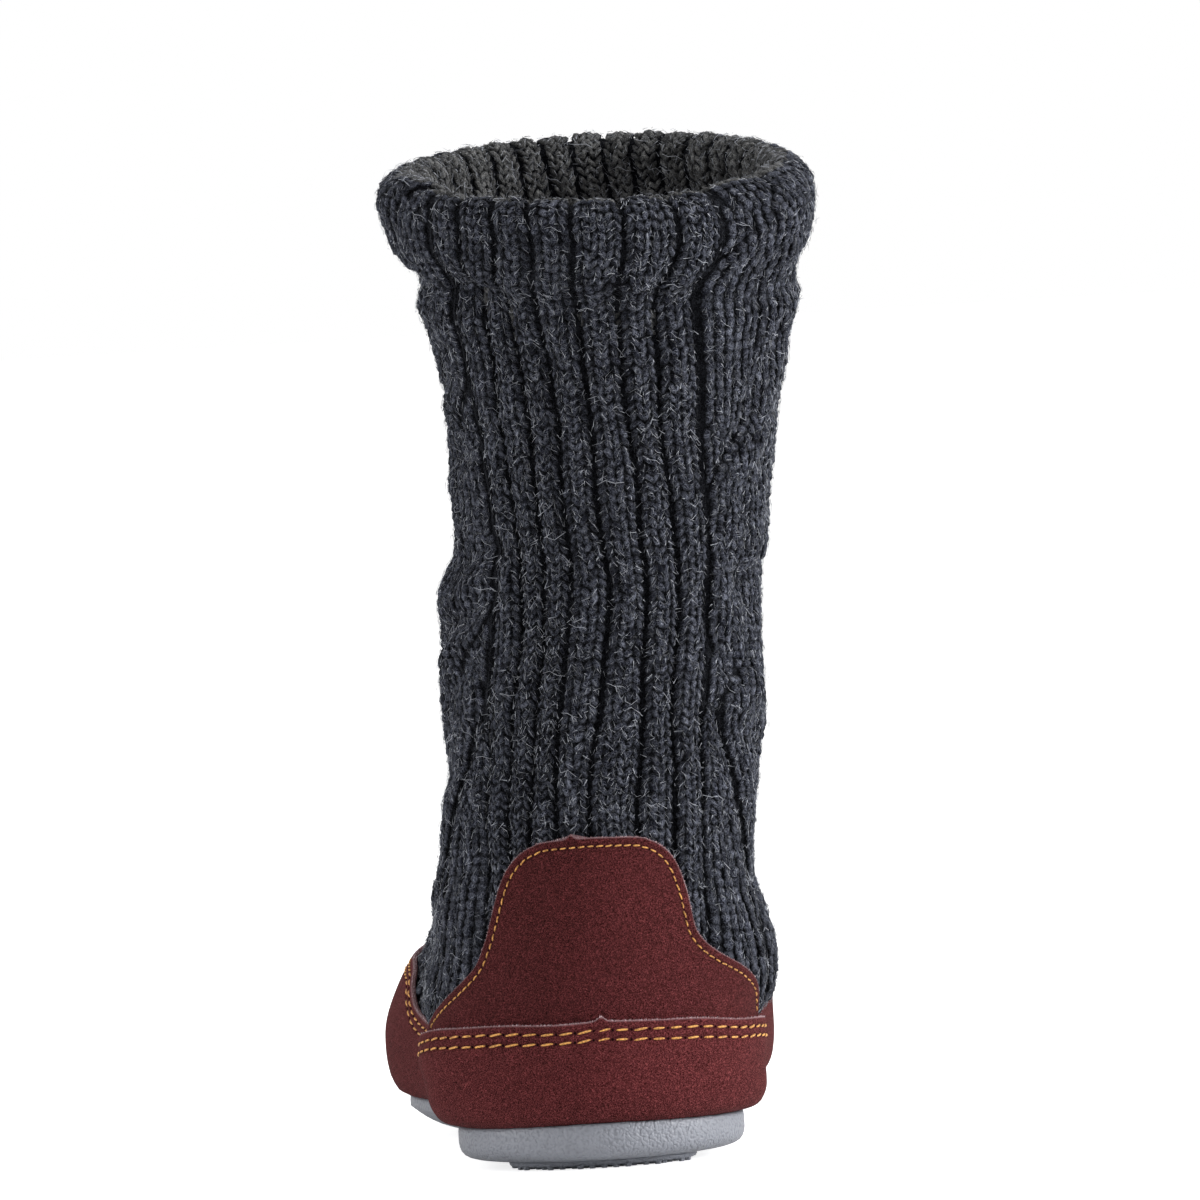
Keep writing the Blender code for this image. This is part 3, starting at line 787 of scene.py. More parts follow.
def blendColours(tree, share, first, second, kind="MIX"):
    node = nodeIn(tree, "ShaderNodeMix", data_type="RGBA", blend_type=kind)
    for socket, value in ((node.inputs[0], share), (node.inputs[6], first), (node.inputs[7], second)):
        if hasattr(value, "is_linked"):
            tree.links.new(value, socket)
        else:
            socket.default_value = value if isinstance(value, float) else (*value, 1)
    return node.outputs[2]


def bumpInto(tree, shader, height, strength, distance):
    bump = nodeIn(tree, "ShaderNodeBump", {"Height": height, "Strength": strength, "Distance": distance})
    tree.links.new(bump.outputs["Normal"], shader.inputs["Normal"])


wool = dict(
    dark=(0.0025, 0.0028, 0.0050), middle=(0.018, 0.0203, 0.034), light=(0.29, 0.31, 0.385),
    insideDark=(0.032, 0.032, 0.032), insideMiddle=(0.100, 0.100, 0.099), insideLight=(0.42, 0.42, 0.414),
    fibre=(0.56, 0.585, 0.65), fibreShare=0.58, tangleScale=640.0, tangleWidth=0.032,
    downShare=0.45, downScale=1250.0, downWidth=0.05,
    shades=(0.12, 0.4), insideShades=(0.6, 0.88),      # painted shade of a leg's sides and of its ends under the row above
)


def woolMaterial(name, dark, middle, light, shades=None):
    material, tree, shader, vector = startMaterial(name, 0.95, sheen=0.06, sheenTint=(0.75, 0.8, 0.95),
                                                   sheenRoughness=0.4, specular=0.1)
    tangle = groupIn(tree, tangleGroup, vector, scale=wool["tangleScale"], thickness=wool["tangleWidth"],
                     curl=0.7)
    moved = vectorIn(tree, "ADD", vector, (0.37, 0.11, 0.53))
    down = groupIn(tree, tangleGroup, moved, scale=wool["downScale"], thickness=wool["downWidth"], curl=0.9)
    share = mathIn(tree, "MULTIPLY_ADD", down["Fibres"], wool["downShare"],
                   mathIn(tree, "MULTIPLY", tangle["Fibres"], wool["fibreShare"]), clamp=True)
    grain = rangeIn(tree, tangle["Fleck"], 0.38, 0.66)
    if shades:
        # plies run along each leg of yarn
        strand, tone = attributeIn(tree, "strand", "Vector"), attributeIn(tree, "tone")
        apart = joinIn(tree, z=mathIn(tree, "MULTIPLY", tone, 97.0))
        own = vectorIn(tree, "MULTIPLY_ADD", strand, (5.0, 1.6, 1.0), apart)
        streak = rangeIn(tree, noiseIn(tree, own, 1.0, roughness=0.6), 0.40, 0.66)
        grain = mathIn(tree, "MULTIPLY_ADD", streak, 0.65, mathIn(tree, "MULTIPLY", grain, 0.45), clamp=True)
    colour = blendColours(tree, share, blendColours(tree, grain, dark, middle), light)
    if shades:
        # painted shade: its sides and its ends under the row above are darkened in its colour, and its tone,
        # which holds the painted valley shade, scales it
        sideShade = rangeIn(tree, attributeIn(tree, "core"), 0.0, 0.9, shades[0], 1.0)
        ends = nodeIn(tree, "ShaderNodeSeparateXYZ", {0: strand})
        endShade = rangeIn(tree, ends.outputs[1], 0.15, 0.75, 1.0, shades[1])
        shade = mathIn(tree, "MULTIPLY", mathIn(tree, "MULTIPLY", sideShade, endShade),
                       mathIn(tree, "MULTIPLY_ADD", tone, 0.9, 0.6))
        paintedShadeGrey = nodeIn(tree, "ShaderNodeCombineColor", {0: shade, 1: shade, 2: shade})
        colour = blendColours(tree, 1.0, colour, paintedShadeGrey.outputs[0], "MULTIPLY")
    tree.links.new(colour, shader.inputs["Base Color"])
    bumpInto(tree, shader, mathIn(tree, "MULTIPLY_ADD", tangle["Fibres"], 0.7, grain), 0.8, 0.0006)
    return material


woolOutside = woolMaterial("woolOutside", wool["dark"], wool["middle"], wool["light"], wool["shades"])
woolInside = woolMaterial("woolInside", wool["insideDark"], wool["insideMiddle"], wool["insideLight"],
                          wool["insideShades"])
# the wall under the legs: the wool's colours made far darker, a painted shade of the valleys between the legs
# and ribs
woolValleyShade = woolMaterial("woolValleyShade", dimmed(wool["dark"], 0.3), dimmed(wool["middle"], 0.15),
                           dimmed(wool["light"], 0.12))


def hairMaterial(name, roughness, specular, dark, light):
    # fine hairs, each with a tone of its own
    material, tree, shader, _ = startMaterial(name, roughness, sheen=0.1, specular=specular)
    colour = blendColours(tree, attributeIn(tree, "tone"), dark, light)
    tree.links.new(colour, shader.inputs["Base Color"])
    return material


woolFibre = hairMaterial("woolFibre", 0.7, 0.3, dimmed(wool["fibre"], 0.05), wool["fibre"])
print("wool mixed")


knitWall = dict(
    ribShares=(0.0, 0.06, 0.15, 0.32, 0.5, 0.68, 0.85, 0.94),      # where the columns stand across a rib
    cableShares=24, lowWays=(12.5, 14.0, 17.0, 20.0), fineFrom=24.0, rowPitch=3.2, innerEnd=60.0,
    innerRows=26,
)


def makeKnitWall():
    units = []
    for unit, kind in enumerate(unitKinds):
        count = knitWall["cableShares"]
        shares = knitWall["ribShares"] if kind == "rib" else np.arange(count) / count
        units += [(unit, share) for share in shares]
    fine = np.arange(knitWall["fineFrom"], crestWay + knitWall["innerEnd"], knitWall["rowPitch"])
    inner = np.linspace(fine[-1] + 3, endWay, knitWall["innerRows"])
    ways = np.concatenate([knitWall["lowWays"], fine, inner])
    points = np.stack([wallAt(unit, np.full(len(ways), share), ways) for unit, share in units], 1)
    rows, count = points.shape[:2]
    faces = gridFaces(rows, count, True)
    top = (rows - 1) * count
    faces += [(top + c, top + (c + 1) % count, (c + 1) % count, c) for c in range(count)]
    # the wall is dressed in the dark painted valley shade
    return newPiece("knitWall", placed(points.reshape(-1, 3)), faces, woolValleyShade,
                    ["knit_upper"])


knitPiece = makeKnitWall()
print("knit wall:", len(knitPiece.data.polygons), "faces")


# The legs of every stitch are laid on the wall by nodes
yarn = dict(
    length=1.72, width=1.12,            # of a leg, as shares of a row and of its column
    thickness=1.6, arch=0.25, lift=0.15, tilt=31.0, pitch=7.0,
    margin=0.85,                        # bare strip along each side of a rib, in mm
    ribLegs=((4.6, 2), (11.4, 4), (15.0, 6), (99.0, 8)),    # legs across a rib less wide than this
    strandLegs=6, strandShare=0.46, plainColumns=14, plainSpread=0.95,
    # the first number is how much darker in tone the legs at a valley's side are made: painted shade of the
    # valleys
    paintedValleyShade=0.32, toneSpread=0.24, stray=0.15, seed=5, jitter=15.0,
    firstWay=26.0, pastCrest=40.0,      # where the rows start, and how far they go down the inside
    shaftMiddle=(12.0, 50.0), insideFrom=150.0, backTo=42.0, backFrom=60.0, frontFrom=115.0,
    suedeTo=95.0, underSuede=-1.2,      # how far the legs go on under the suede's edge
)


def geometryTree(name, numbers):
    # a tree that takes a geometry, named numbers, a seed and a material
    sockets = [("Geometry", "NodeSocketGeometry", None)]
    sockets += [(key, "NodeSocketFloat", value) for key, value in numbers.items()]
    sockets += [("Seed", "NodeSocketInt", 1), ("Material", "NodeSocketMaterial", None)]
    tree = bpy.data.node_groups.new(name, "GeometryNodeTree")
    return groupSockets(tree, sockets, [("Geometry", "NodeSocketGeometry")])


def namedVector(tree, name):
    return nodeIn(tree, "GeometryNodeInputNamedAttribute", {"Name": name},
                  data_type="FLOAT_VECTOR").outputs[0]


def randomIn(tree, low, high, seed):
    return nodeIn(tree, "FunctionNodeRandomValue", {2: low, 3: high, "Seed": seed},
                  data_type="FLOAT").outputs[1]


def keepIn(tree, geometry, name, value, kind="FLOAT"):
    # stores a value on the points under a name
    return nodeIn(tree, "GeometryNodeStoreNamedAttribute",
                  {"Geometry": geometry, "Name": name, "Value": value},
                  data_type=kind, domain="POINT").outputs[0]


def standingIn(tree, along=None):
    # a rotation whose Z follows the points' own lift, and whose Y follows another vector
    rotation = nodeIn(tree, "FunctionNodeAlignRotationToVector", {"Vector": namedVector(tree, "lift")},
                      axis="Z")
    if along is None:
        return rotation.outputs[0]
    return nodeIn(tree, "FunctionNodeAlignRotationToVector",
                  {"Rotation": rotation.outputs[0], "Vector": along},
                  axis="Y", pivot_axis="Z").outputs[0]


def turnIn(tree, rotation, by):
    return nodeIn(tree, "FunctionNodeRotateRotation", {0: rotation, 1: by}, rotation_space="LOCAL").outputs[0]


def ballIn(tree, segments, bands):
    # a ball with its poles along Z, and the places of its points
    ball = nodeIn(tree, "GeometryNodeMeshUVSphere", {"Segments": segments, "Rings": bands, "Radius": 1.0})
    at = nodeIn(tree, "ShaderNodeSeparateXYZ", {0: nodeIn(tree, "GeometryNodeInputPosition").outputs[0]})
    return ball.outputs["Mesh"], at.outputs


def bentIn(tree, mesh, shape):
    # moves the points; swapping two axes turns the faces in, so they are flipped back
    bent = nodeIn(tree, "GeometryNodeSetPosition", {"Geometry": mesh, "Position": shape})
    flipped = nodeIn(tree, "GeometryNodeFlipFaces", {"Mesh": bent.outputs[0]})
    return nodeIn(tree, "GeometryNodeSetShadeSmooth", {"Geometry": flipped.outputs[0]}).outputs[0]


def layIn(tree, given, points, instance, rotation, scale, **more):
    # one on every point, made real and dressed: the end of every tree
    laid = nodeIn(tree, "GeometryNodeInstanceOnPoints",
                  {"Points": points, "Instance": instance, "Rotation": rotation, "Scale": scale, **more})
    real = nodeIn(tree, "GeometryNodeRealizeInstances", {0: laid.outputs[0]})
    dressed = nodeIn(tree, "GeometryNodeSetMaterial",
                     {"Geometry": real.outputs[0], "Material": given["Material"]})
    nodeIn(tree, "NodeGroupOutput", {0: dressed.outputs[0]})
    return tree


def yarnTree():
    # stands a plump, slightly arched leg of yarn on every point
    tree, given = geometryTree("yarnStitches", {"Arch": 0.2, "Jitter": 4.0})
    leg, at = ballIn(tree, 5, 3)
    leg = keepIn(tree, leg, "core", at["Y"])
    leg = keepIn(tree, leg, "strand", joinIn(tree, at["X"], at["Z"]), "FLOAT_VECTOR")
    # the ball's poles lie along the leg, and its ends sink
    sink = mathIn(tree, "MULTIPLY", mathIn(tree, "POWER", at["Z"], 2.0), given["Arch"])
    shape = joinIn(tree, at["X"], at["Z"], mathIn(tree, "SUBTRACT", at["Y"], sink))
    spin = mathIn(tree, "MULTIPLY", randomIn(tree, -1.0, 1.0, given["Seed"]), given["Jitter"])
    wobble = joinIn(tree, z=mathIn(tree, "RADIANS", spin))
    rotation = turnIn(tree, standingIn(tree, namedVector(tree, "along")), wobble)
    return layIn(tree, given, given["Geometry"], bentIn(tree, leg, shape), rotation,
                 namedVector(tree, "size"))


yarns = yarnTree()


def grown(name, carrier, tree, settings):
    # runs a node tree on a carrier mesh, keeps the result as a plain mesh and drops the carrier
    modifier = carrier.modifiers.new(tree.name, "NODES")
    modifier.node_group = tree
    for socket in tree.interface.items_tree:
        if socket.item_type == "SOCKET" and socket.in_out == "INPUT" and socket.name in settings:
            modifier[socket.identifier] = settings[socket.name]
    graph = bpy.context.evaluated_depsgraph_get()
    mesh = bpy.data.meshes.new_from_object(carrier.evaluated_get(graph))
    carrier.modifiers.remove(modifier)
    bpy.data.objects.remove(carrier)
    mesh.name = name
    piece = bpy.data.objects.new(name, mesh)
    scene.collection.objects.link(piece)
    settle(piece)
    return piece


def carrierOf(points, vectors=None, floats=None, edges=(), faces=()):
    mesh = bpy.data.meshes.new("carrier")
    mesh.from_pydata(np.asarray(points, float).tolist(), list(edges), list(faces))
    for key, values in (vectors or {}).items():
        layer = mesh.attributes.new(key, "FLOAT_VECTOR", "POINT")
        layer.data.foreach_set("vector", np.asarray(values, np.float32).ravel())
    addNumbers(mesh, floats or {})
    carrier = bpy.data.objects.new("carrier", mesh)
    scene.collection.objects.link(carrier)
    return carrier


def rowWays(unit, firstWay, lastWay):
    # where the knitted rows of a unit lie, evenly along its middle
    ways = np.arange(firstWay, lastWay, 0.5)
    line = wallAt(unit, np.full(len(ways), 0.5), ways)
    length = runLength(line)
    steps = np.arange(rng.random() * 0.5, length[-1], ribbing["rowHeight"])
    return np.interp(steps, length, ways)


def legPoints(unit, share, ways, lean, width):
    # middles, directions and sizes of one column of legs, from the wall just around each of them
    count, near, beside = len(ways), 0.6, 0.45
    share = np.broadcast_to(share, (count,))
    middle = wallAt(unit, share, ways, yarn["lift"])
    along = wallAt(unit, share, ways + near) - wallAt(unit, share, ways - near)
    beside = beside / np.maximum(unitWidth(unit, ways), 1.0)
    side = wallAt(unit, share + beside, ways) - wallAt(unit, share - beside, ways)
    lift, along = unitLong(np.cross(side, along)), unitLong(along)
    across = np.cross(along, lift)
    angle = math.radians(yarn["tilt"]) * lean
    along = along * math.cos(angle) + across * math.sin(angle)
    # each leg tucks its upper end under the row above
    dip = math.radians(yarn["pitch"])
    along, lift = along * math.cos(dip) - lift * math.sin(dip), lift * math.cos(dip) + along * math.sin(dip)
    legWidth = np.broadcast_to(width, (count,)) * yarn["width"] / 2
    size = np.stack([legWidth, np.full(count, ribbing["rowHeight"] * yarn["length"] / 2),
                     np.full(count, yarn["thickness"] / 2)], -1)
    return middle, along, lift, size


def collectLegs():
    found = []

    def add(k, unit, share, ways, width, valleyShade=0.0, swing=None):
        # one column of legs, which lean the other way in every second column
        middle, along, lift, size = legPoints(unit, share, ways, 1 if k % 2 == 0 else -1, width)
        if swing is not None:
            along = unitLong(along + np.cross(along, lift) * swing[:, None])
        found.append((middle, along, lift, size, np.full(len(ways), valleyShade)))

    for unit, kind in enumerate(unitKinds):
        ways = rowWays(unit, yarn["firstWay"], crestWay + yarn["pastCrest"])
        width = unitWidth(unit, ways)
        if kind == "rib":
            zone = width - 2 * yarn["margin"]
            amount = np.select([width < widest for widest, _ in yarn["ribLegs"]],
                               [legs for _, legs in yarn["ribLegs"]])
            for _, legs in yarn["ribLegs"]:
                chosen = ways[(amount == legs) & (zone > 1.6)]
                here = unitWidth(unit, chosen)
                inset = yarn["margin"] / here
                for k in range(legs if len(chosen) else 0):
                    share = inset + (1 - 2 * inset) * (k + 0.5) / legs
                    # the columns at a rib's edges are made darker: painted shade of the valley beside them
                    valleyShade = yarn["paintedValleyShade"] if k in (0, legs - 1) else 0.0
                    add(k, unit, share, chosen, here * (1 - 2 * inset) / legs, valleyShade)
            continue
        strands, legs = cableStrands(unit, ways), yarn["strandLegs"]
        for (middle, height), (otherMiddle, otherHeight) in (strands, strands[::-1]):
            # the legs run with their strand, which swings across at a crossing
            swing = np.gradient(middle, ways) * width
            for k in range(legs):
                share = middle + ((k + 0.5) / legs - 0.5) * yarn["strandShare"]
                hidden = (np.abs(share - otherMiddle) < 0.24) & (height < otherHeight - 0.2)
                keep = ~hidden & (share > 0.02) & (share < 0.98)
                if keep.sum() > 1:
                    # the outer columns of a strand get half that painted valley shade
                    valleyShade = yarn["paintedValleyShade"] / 2 if k in (0, legs - 1) else 0.0
                    across = width[keep] * yarn["strandShare"] / legs
                    add(k, unit, share[keep], ways[keep], across, valleyShade, swing[keep])
        # plain stitches beside a crossing, where both strands are away
        columns, spread = yarn["plainColumns"], yarn["plainSpread"]
        for k in range(columns):
            share = (1 - spread) / 2 + spread * (k + 0.5) / columns
            away = np.min([np.abs(share - strand[0]) for strand in strands], 0)
            keep = away > yarn["strandShare"] / 2 + 0.03
            if keep.sum() > 1:
                add(k, unit, share, ways[keep], width[keep] * spread / columns)
    middle, along, lift, size, valleyShade = (np.concatenate(parts) for parts in zip(*found))
    middle = middle + rng.normal(0, yarn["stray"], middle.shape)
    return middle, along, lift, size, valleyShade


def makeYarn():
    # lays the legs down and returns the places of those in the open
    middle, along, lift, size, valleyShade = collectLegs()
    inward = middle[:, :2] - yarn["shaftMiddle"]
    inside = (middle[:, 2] > yarn["insideFrom"]) & ((inward * lift[:, :2]).sum(1) < 0)
    free = np.ones(len(middle), bool)
    low = middle[:, 2] < yarn["suedeTo"]
    free[low] = coverDistance(middle[low]) > yarn["underSuede"]
    # every leg's tone is drawn at random, less the painted valley shade of the columns beside a valley
    tone = np.clip(rng.normal(0.5, yarn["toneSpread"], len(middle)) - valleyShade, 0, 1)
    settings = {key.capitalize(): yarn[key] for key in ("arch", "jitter", "seed")}
    # four pieces: the shaft's back and front, the foot below them, and the inside
    back = (middle[:, 1] < yarn["backTo"]) & (middle[:, 2] > yarn["backFrom"])
    front = (middle[:, 1] >= yarn["backTo"]) & (middle[:, 2] > yarn["frontFrom"])
    outside = free & ~inside
    groups = (
        ("yarnBack", outside & back, woolOutside),
        ("yarnFront", outside & front, woolOutside),
        ("yarnFoot", outside & ~back & ~front, woolOutside),
        ("yarnInside", free & inside, woolInside),
    )
    metres = placed(middle)
    for name, chosen, material in groups:
        vectors = {"lift": lift[chosen], "along": along[chosen], "size": size[chosen] * mm}
        carrier = carrierOf(metres[chosen], vectors, {"tone": tone[chosen]})
        piece = grown(name, carrier, yarns, {**settings, "Material": material})
        print(name, chosen.sum(), "legs,", len(piece.data.polygons), "faces")
    return middle[free], along[free], lift[free]


def coverDistance(points):
    # how far points of the wall lie out of the suede, found from their nearest place on it
    rows = 110
    turns, ways = np.meshgrid(np.arange(0, 361, 2.0), wayRows[:rows])
    finder = KDTree(turns.size)
    for i, point in enumerate(wallPoints[:rows, ::2].reshape(-1, 3)):
        finder.insert(point, i)
    finder.balance()
    nearest = [finder.find(point)[1] for point in points]
    return suedeFree(turns.ravel()[nearest], ways.ravel()[nearest])


openLegs = makeYarn()
print("yarn laid")


suede = dict(
    heel=(0.104, 0.0176, 0.0190), toe=(0.100, 0.0166, 0.0179), patch=(0.077, 0.0130, 0.0140),
    rawEdge=(0.58, 0.37, 0.39), rawReach=0.22, endReach=1.4, edgeRound=0.35,
    grain=3500.0, cloud=70.0, bump=0.0004, darkShare=0.35, lightShare=(4.3, 5.5, 5.5),
)


def suedeMaterial(name, colour):
    material, tree, shader, vector = startMaterial(name, 0.92, sheen=0.06, sheenTint=(1.0, 0.5, 0.45),
                                                   sheenRoughness=0.4, specular=0.08)
    nap = groupIn(tree, napGroup, vector, grain=suede["grain"], cloud=suede["cloud"])
    dark = dimmed(colour, suede["darkShare"])
    light = tuple(v * factor for v, factor in zip(colour, suede["lightShare"]))
    cloudy = blendColours(tree, nap["Cloud"], dimmed(dark, 0.8), dimmed(dark, 1.25))
    grainy = blendColours(tree, nap["Grain"], cloudy, light)
    uneven = mathIn(tree, "MULTIPLY_ADD", nap["Grain"], 0.6, 0.4)
    ragged = mathIn(tree, "MULTIPLY", attributeIn(tree, "rawEdge"), uneven, clamp=True)
    edged = blendColours(tree, ragged, grainy, suede["rawEdge"])
    # darker along the stitch grooves: partly the nap pressed down, partly painted shade in the grooves
    shade = mathIn(tree, "MULTIPLY", attributeIn(tree, "pressed"), 0.5)
    tree.links.new(blendColours(tree, shade, edged, dimmed(colour, 0.3)), shader.inputs["Base Color"])
    bumpInto(tree, shader, nap["Height"], 0.8, suede["bump"])
    return material


suedeHeel = suedeMaterial("suedeHeel", suede["heel"])
suedeToe = suedeMaterial("suedeToe", suede["toe"])
suedePatch = suedeMaterial("suedePatch", suede["patch"])

foxing = dict(
    stitchRows=(2.25, 4.75), groove=0.3, grooveWidth=0.6, overPatch=1.5, overSeam=1.0,
    notch=1.2, notchWidth=0.75, notchAt=0.6, heelRaise=0.9, leftRaise=0.9, leftDrop=2.6, rightDrop=1.4,
    kink=0.45, softness=0.18, sidePerTurn=1.9,      # mm that one degree reaches at the side seam
    columns=(220, 240), rows=42, seamOverlap=4.0,
)


def edgeRow(turn):
    # the edge with its slight unevenness, as a ring height
    degrees = np.degrees(turn)
    wander = 0.22 * np.sin(degrees / 7.0 + 0.6) + 0.12 * np.sin(degrees / 2.9 + 1.1)
    heel = foxing["heelRaise"] * (1 - eased(np.abs(degrees), 50.0, seam))
    left = foxing["leftRaise"] * np.exp(-((degrees + 25.0) / 15.0) ** 2)
    ends = foxing["leftDrop"] * eased(-degrees, 54.0, 68.0) + foxing["rightDrop"] * eased(degrees, 54.0, 68.0)
    kink = foxing["kink"] * np.exp(-(degrees / 9.0) ** 2)
    return edgeHeight(turn) + wander + heel + left - kink - np.where(np.abs(degrees) < 68.0, ends, 0.0)


def peak(away, width):
    return np.exp(-(np.abs(away) / width) ** 1.5)


def topRow(turn):
    away = np.degrees(turn) - foxing["notchAt"]
    return edgeRow(turn) + foxing["notch"] * peak(away, foxing["notchWidth"])


def foxingRows(turn, wanted):
    # heights at the given distances below the top edge, measured on the surface
    top = topRow(turn)
    share = np.linspace(0, 1, 60)
    heights = top[None] + (12.5 - top[None]) * share[:, None]
    points = upperPoint(turn[None], heights)
    steps = np.linalg.norm(np.diff(points, axis=0), axis=-1)
    length = np.concatenate([np.zeros((1, len(turn))), np.cumsum(steps, 0)])
    result = []
    for c in range(len(turn)):
        whole = length[-1, c]
        near = [d for d in wanted if d < whole * 0.6]
        missing = len(wanted) - len(near)
        rest = np.linspace(near[-1], whole, missing + 1)[1:] if missing else []
        result.append(np.interp(np.concatenate([near, rest]), length[:, c], heights[:, c]))
    distance = np.stack([np.interp(-row, -heights[:, c], length[:, c]) for c, row in enumerate(result)], 1)
    return np.stack(result, 1), distance


def foxingOut(turn, distance, heelPanel):
    # how far the panel's inside stands off the knit
    degrees = np.degrees(turn)
    if not heelPanel:
        return np.full(np.broadcast(turn, distance).shape, last["gap"])
    patch = foxing["overPatch"] * (1 - eased(distance, 5.0, 13.0)) * (1 - eased(np.abs(degrees), 50.0, 62.0))
    lapped = foxing["overSeam"] * eased(np.abs(degrees), seam - 13.0, seam - 4.0)
    return last["gap"] + np.maximum(patch, lapped)


def grooves(distance):
    deep = sum(np.exp(-((distance - row) / foxing["grooveWidth"]) ** 2) for row in foxing["stitchRows"])
    return np.clip(deep, 0, 1)


def foxingSkin(turn, distance, height, heelPanel, out):
    base = foxingOut(turn, distance, heelPanel)
    return upperSkin(turn, height, base + out)


def edgeRounding(inward):
    return suede["edgeRound"] * (1 - closing(inward, suede["edgeRound"]))


def makeFoxing(name, turns, columns, material, slot, heelPanel):
    turn = np.radians(np.linspace(*turns, columns))
    close, even = np.arange(1.6, 8.1, 0.42), np.arange(9, 60, 1.7)
    wanted = np.concatenate([[0, 0.12, 0.28, 0.5, 0.8, 1.2], close, even])[:foxing["rows"]]
    heights, distance = foxingRows(turn, wanted)
    degrees = np.degrees(turn)[None]
    toEnd = (seam - np.abs(degrees)) * foxing["sidePerTurn"] if heelPanel else np.full((1, columns), 99.0)
    rim = np.minimum(distance, toEnd)
    soft = foxing["softness"] * slowNoise(degrees / 9.0, distance / 6.0, 2.0) * eased(rim, 0.5, 4.0)
    pressed = grooves(distance)
    outer = last["suede"] - edgeRounding(rim) - foxing["groove"] * pressed * eased(toEnd, 0, 2) + soft
    front, rear = (foxingSkin(turn[None], distance, heights, heelPanel, out) for out in (outer, 0.0))
    bare, end = (np.exp(-(away / suede[key]) ** 2) for away, key in ((rim, "rawReach"), (toEnd, "endReach")))
    raw = np.maximum(bare, 0.75 * end)
    count = heights.size
    attributes = {"rawEdge": np.concatenate([raw.ravel(), np.full(count, 0.6)]),
                  "pressed": np.concatenate([pressed.ravel() * 0.8, np.zeros(count)])}
    points = placed(np.concatenate([front.reshape(-1, 3), rear.reshape(-1, 3)]))
    return newPiece(name, points, sheetFaces(*heights.shape), material, [slot], attributes)


under = seam - foxing["seamOverlap"]
makeFoxing("heelFoxing", (-seam, seam), foxing["columns"][0], suedeHeel, "heel_foxing", True)
makeFoxing("toeFoxing", (under, 360 - under), foxing["columns"][1], suedeToe, "toe_foxing", False)
print("foxing cut")

patch = dict(
    low=28.0, stitchIn=2.2, stitchFrom=36.5, hairsFrom=34.0, groove=0.25, grooveWidth=0.75, softness=0.2,
    notch=1.2, notchWidth=0.9, notchAt=-7.2, columns=100,
)


def turnAtArc(x, height):
    # turn, in degrees, of a point this far round a ring
    turns = np.arange(-100, 101, 1.0)
    table = arcFromBack(turns, np.full(len(turns), float(height)))
    return np.interp(x, table, turns)


def makePatch():
    low, top = patch["low"], patchSides[-1][0]
    heights = risingTo(79.5, 3.8, low, 56, 0.04, 20)
    leftReach, rightReach = patchReach(heights)
    leftReach[-1] = rightReach[-1] = 6.0
    spread = np.linspace(-1, 1, patch["columns"])
    spread = np.sign(spread) * (1 - (1 - np.abs(spread)) ** 1.3)
    front, rear, raws, presses = [], [], [], []
    for height, left, right, middle in zip(heights, leftReach, rightReach, smooth(patchLean, heights)):
        x = np.where(spread < 0, spread * left, spread * right) + middle
        notch = patch["notch"] * peak(x - patch["notchAt"], patch["notchWidth"])
        lifted = height + notch * eased(height, 80.5, 83.2)
        turn = np.radians(turnAtArc(x, min(height, top)))
        inward = np.clip(-patchDistance(x, height), 0, None)
        foot = eased(height, low, low + 4)
        groove = np.exp(-((inward - patch["stitchIn"]) / patch["grooveWidth"]) ** 2) * foot
        soft = patch["softness"] * slowNoise(x / 9.0, height / 8.0, 5.0) * eased(inward, 0.5, 5.0)
        out = last["suede"] - edgeRounding(inward) - patch["groove"] * groove + soft
        front.append(upperSkin(turn, lifted, last["gap"] + out))
        rear.append(upperSkin(turn, lifted, np.full(len(x), last["gap"])))
        raws.append(np.exp(-(inward / suede["rawReach"]) ** 2) * foot)
        presses.append(groove * 0.8)
    rows, columns = len(heights), patch["columns"]
    attributes = {"rawEdge": np.concatenate([*raws, np.full(rows * columns, 0.5)]),
                  "pressed": np.concatenate([*presses, np.zeros(rows * columns)])}
    return newPiece("heelPatch", placed(np.concatenate(front + rear)), sheetFaces(rows, columns), suedePatch,
                    ["heel_patch"], attributes)


makePatch()
print("patch cut")


stitching = dict(
    panels=dict(pitch=4.7, length=3.5, radius=0.29, hole=0.9),
    patch=dict(pitch=2.3, length=1.8, radius=0.22, hole=0.55),
    holeSize=(0.42, 0.34, 0.16), arch=1.1, slant=0.11, seed=3, colour=(0.77, 0.325, 0.082),
)


def threadMaterial():
    material, tree, shader, vector = startMaterial("stitchThread", 0.55, sheen=0.15, sheenTint=(1, 0.8, 0.6),
                                                   specular=0.35)
    twist, colour = noiseIn(tree, vector, 2200.0), stitching["colour"]
    light = tuple(min(v * 1.5, 1.0) for v in colour)
    mixed = blendColours(tree, rangeIn(tree, twist, 0.35, 0.65), dimmed(colour, 0.4), light)
    tree.links.new(mixed, shader.inputs["Base Color"])
    bumpInto(tree, shader, twist, 0.6, 0.0003)
    return material


stitchThread = threadMaterial()


